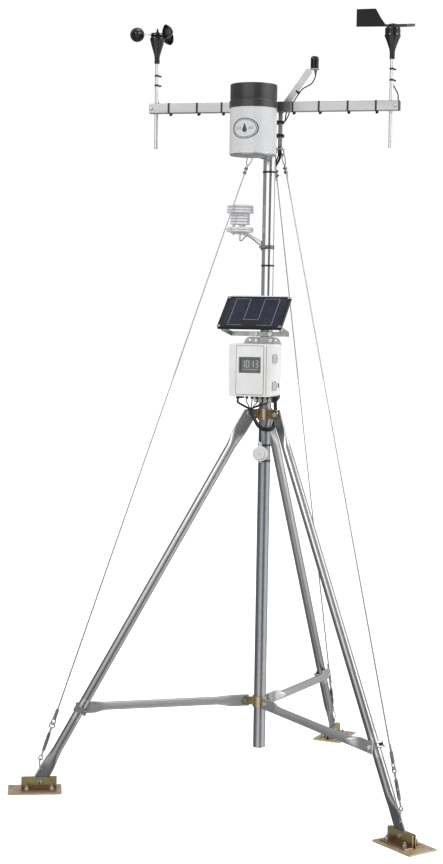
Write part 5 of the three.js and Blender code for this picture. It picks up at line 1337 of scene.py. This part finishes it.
def make_round_sensor():
    """A small round housing tied to the mast under the apex collar."""
    x, z = -4, 1149
    puck = Shape().rod(26, (x, -29, z), (x, -42, z), 48, 1.2).rod(20, (x, -41.6, z), (x, -46, z), 48, 1.6)
    rings = Shape().rod(4.4, (x, -45.8, z), (x, -48, z), 24, .6)
    for radius in (10.5, 17.5):
        rings.ring((x, -46, z), radius, .9, "XZ", 40)
    rings.done("round_sensor_rings", ON_FRONT, HINGE, sharp=50)
    puck.done("round_sensor_puck", ON_FRONT, WHITE_PLASTIC, ["mast_sensor"], sharp=40)
    mount = saddle(-12, 4, -30, -15, 1134, 1164).box(-9, 1, -29, -26.6, 1118, 1182)
    mount.rod(5, (x, -36, z + 21), (x, -36, z + 40), 20, .8).box(-9, 1, -39, -30, 1164, 1176)
    mount.done("round_sensor_mount", ON_FRONT, WHITE_PLASTIC, bevel=.6)


for make in (make_crossarm, make_speed_sensor, make_direction_sensor, make_gauge, make_light_sensor,
             make_shield, make_panel, make_panel_bracket, make_enclosure, make_logger, make_mounting,
             make_round_sensor):
    make()

for node, material in (("battery_pack", TIE), ("tipping_bucket", WHITE_PLASTIC)):
    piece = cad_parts[node]
    piece.data.materials.clear()
    piece.data.materials.append(material)
    edges = piece.modifiers.new("edges", "BEVEL")
    edges.width, edges.segments, edges.limit_method = 0.0006, 2, "ANGLE"


# ------------------------------------------------------------------ floor, world and light
def make_floor():
    """A pale floor that is white to the camera and grey to the bounced light."""
    shape = bmesh.new()
    bmesh.ops.create_circle(shape, cap_ends=True, radius=40, segments=96)
    mesh = bpy.data.meshes.new("floor")
    shape.to_mesh(mesh)
    shape.free()
    floor = bpy.data.objects.new("floor", mesh)
    floor.location.z = -0.0005
    floor.visible_glossy = False
    bpy.context.scene.collection.objects.link(floor)
    material = bpy.data.materials.new("pale_floor")
    material.use_nodes = True
    n = Nodes(material.node_tree)
    tone = n.ramp(n.noise(n.add("TexCoord").outputs["Object"], 1.2).outputs[0],
                  [(.3, (.90, .90, .90)), (.7, (.93, .93, .93))])
    seen = n.add("BsdfPrincipled", {"Base Color": tone, "Roughness": .9, "Specular IOR Level": .1,
                                    "Emission Color": (1, 1, 1, 1), "Emission Strength": .3})
    bounce = n.add("BsdfDiffuse", {"Color": (.42, .42, .42, 1)})
    switch = n.add("MixShader", {0: n.add("LightPath").outputs["Is Camera Ray"], 1: bounce.outputs[0],
                                 2: seen.outputs[0]})
    n.add("OutputMaterial", {"Surface": switch.outputs[0]})
    mesh.materials.append(material)


def make_world():
    """White behind the object, and for reflections a soft room with bright and dark walls."""
    world = bpy.data.worlds.new("studio")
    bpy.context.scene.world = world
    world.use_nodes = True
    n = Nodes(world.node_tree)
    direction = n.add("TexCoord").outputs["Generated"]
    round_room = n.add("TexGradient", {"Vector": direction}, gradient_type="RADIAL").outputs[1]
    walls = n.ramp(round_room, [(0.0, (.34,) * 3), (.12, (.34,) * 3), (.16, (1.7,) * 3), (.27, (1.7,) * 3),
        (.30, (.19,) * 3), (.385, (.19,) * 3), (.42, (1.8,) * 3), (.57, (1.8,) * 3), (.61, (.25,) * 3),
        (.66, (.8,) * 3), (.76, (.8,) * 3), (.80, (.34,) * 3), (1.0, (.34,) * 3)])
    height = n.add("SeparateXYZ", {0: direction}).outputs[2]
    ceiling = n.add("MapRange", {"Value": height, 1: .35, 2: .75, 3: 0.0, 4: 1.0}).outputs[0]
    room = n.add("Mix", {"Factor": ceiling, 6: walls, 7: (.55, .55, .56, 1)}, data_type="RGBA").outputs[2]
    lit = n.add("Background", {"Color": room, "Strength": 0.95})
    seen = n.add("Background", {"Color": (1, 1, 1, 1), "Strength": 1.05})
    switch = n.add("MixShader", {0: n.add("LightPath").outputs["Is Camera Ray"], 1: lit.outputs[0],
                                 2: seen.outputs[0]})
    n.add("OutputWorld", {"Surface": switch.outputs[0]})


def make_light(name, bearing, elevation, energy, spread):
    """A broad, distant studio light."""
    data = bpy.data.lights.new(name, "SUN")
    data.energy, data.angle = energy, math.radians(spread)
    light = bpy.data.objects.new(name, data)
    level, up = math.cos(math.radians(elevation)), math.sin(math.radians(elevation))
    towards = Vector((level * math.cos(math.radians(bearing)), level * math.sin(math.radians(bearing)), up))
    light.rotation_euler = (-towards).to_track_quat("-Z", "Y").to_euler()
    light.location = towards * 6
    bpy.context.scene.collection.objects.link(light)


make_floor()
make_world()
make_light("key", -128, 34, 1.35, 14)
make_light("rim", -4, 28, 1.3, 16)
make_light("top", 60, 70, .8, 40)
bpy.context.scene.view_settings.view_transform = "Standard"
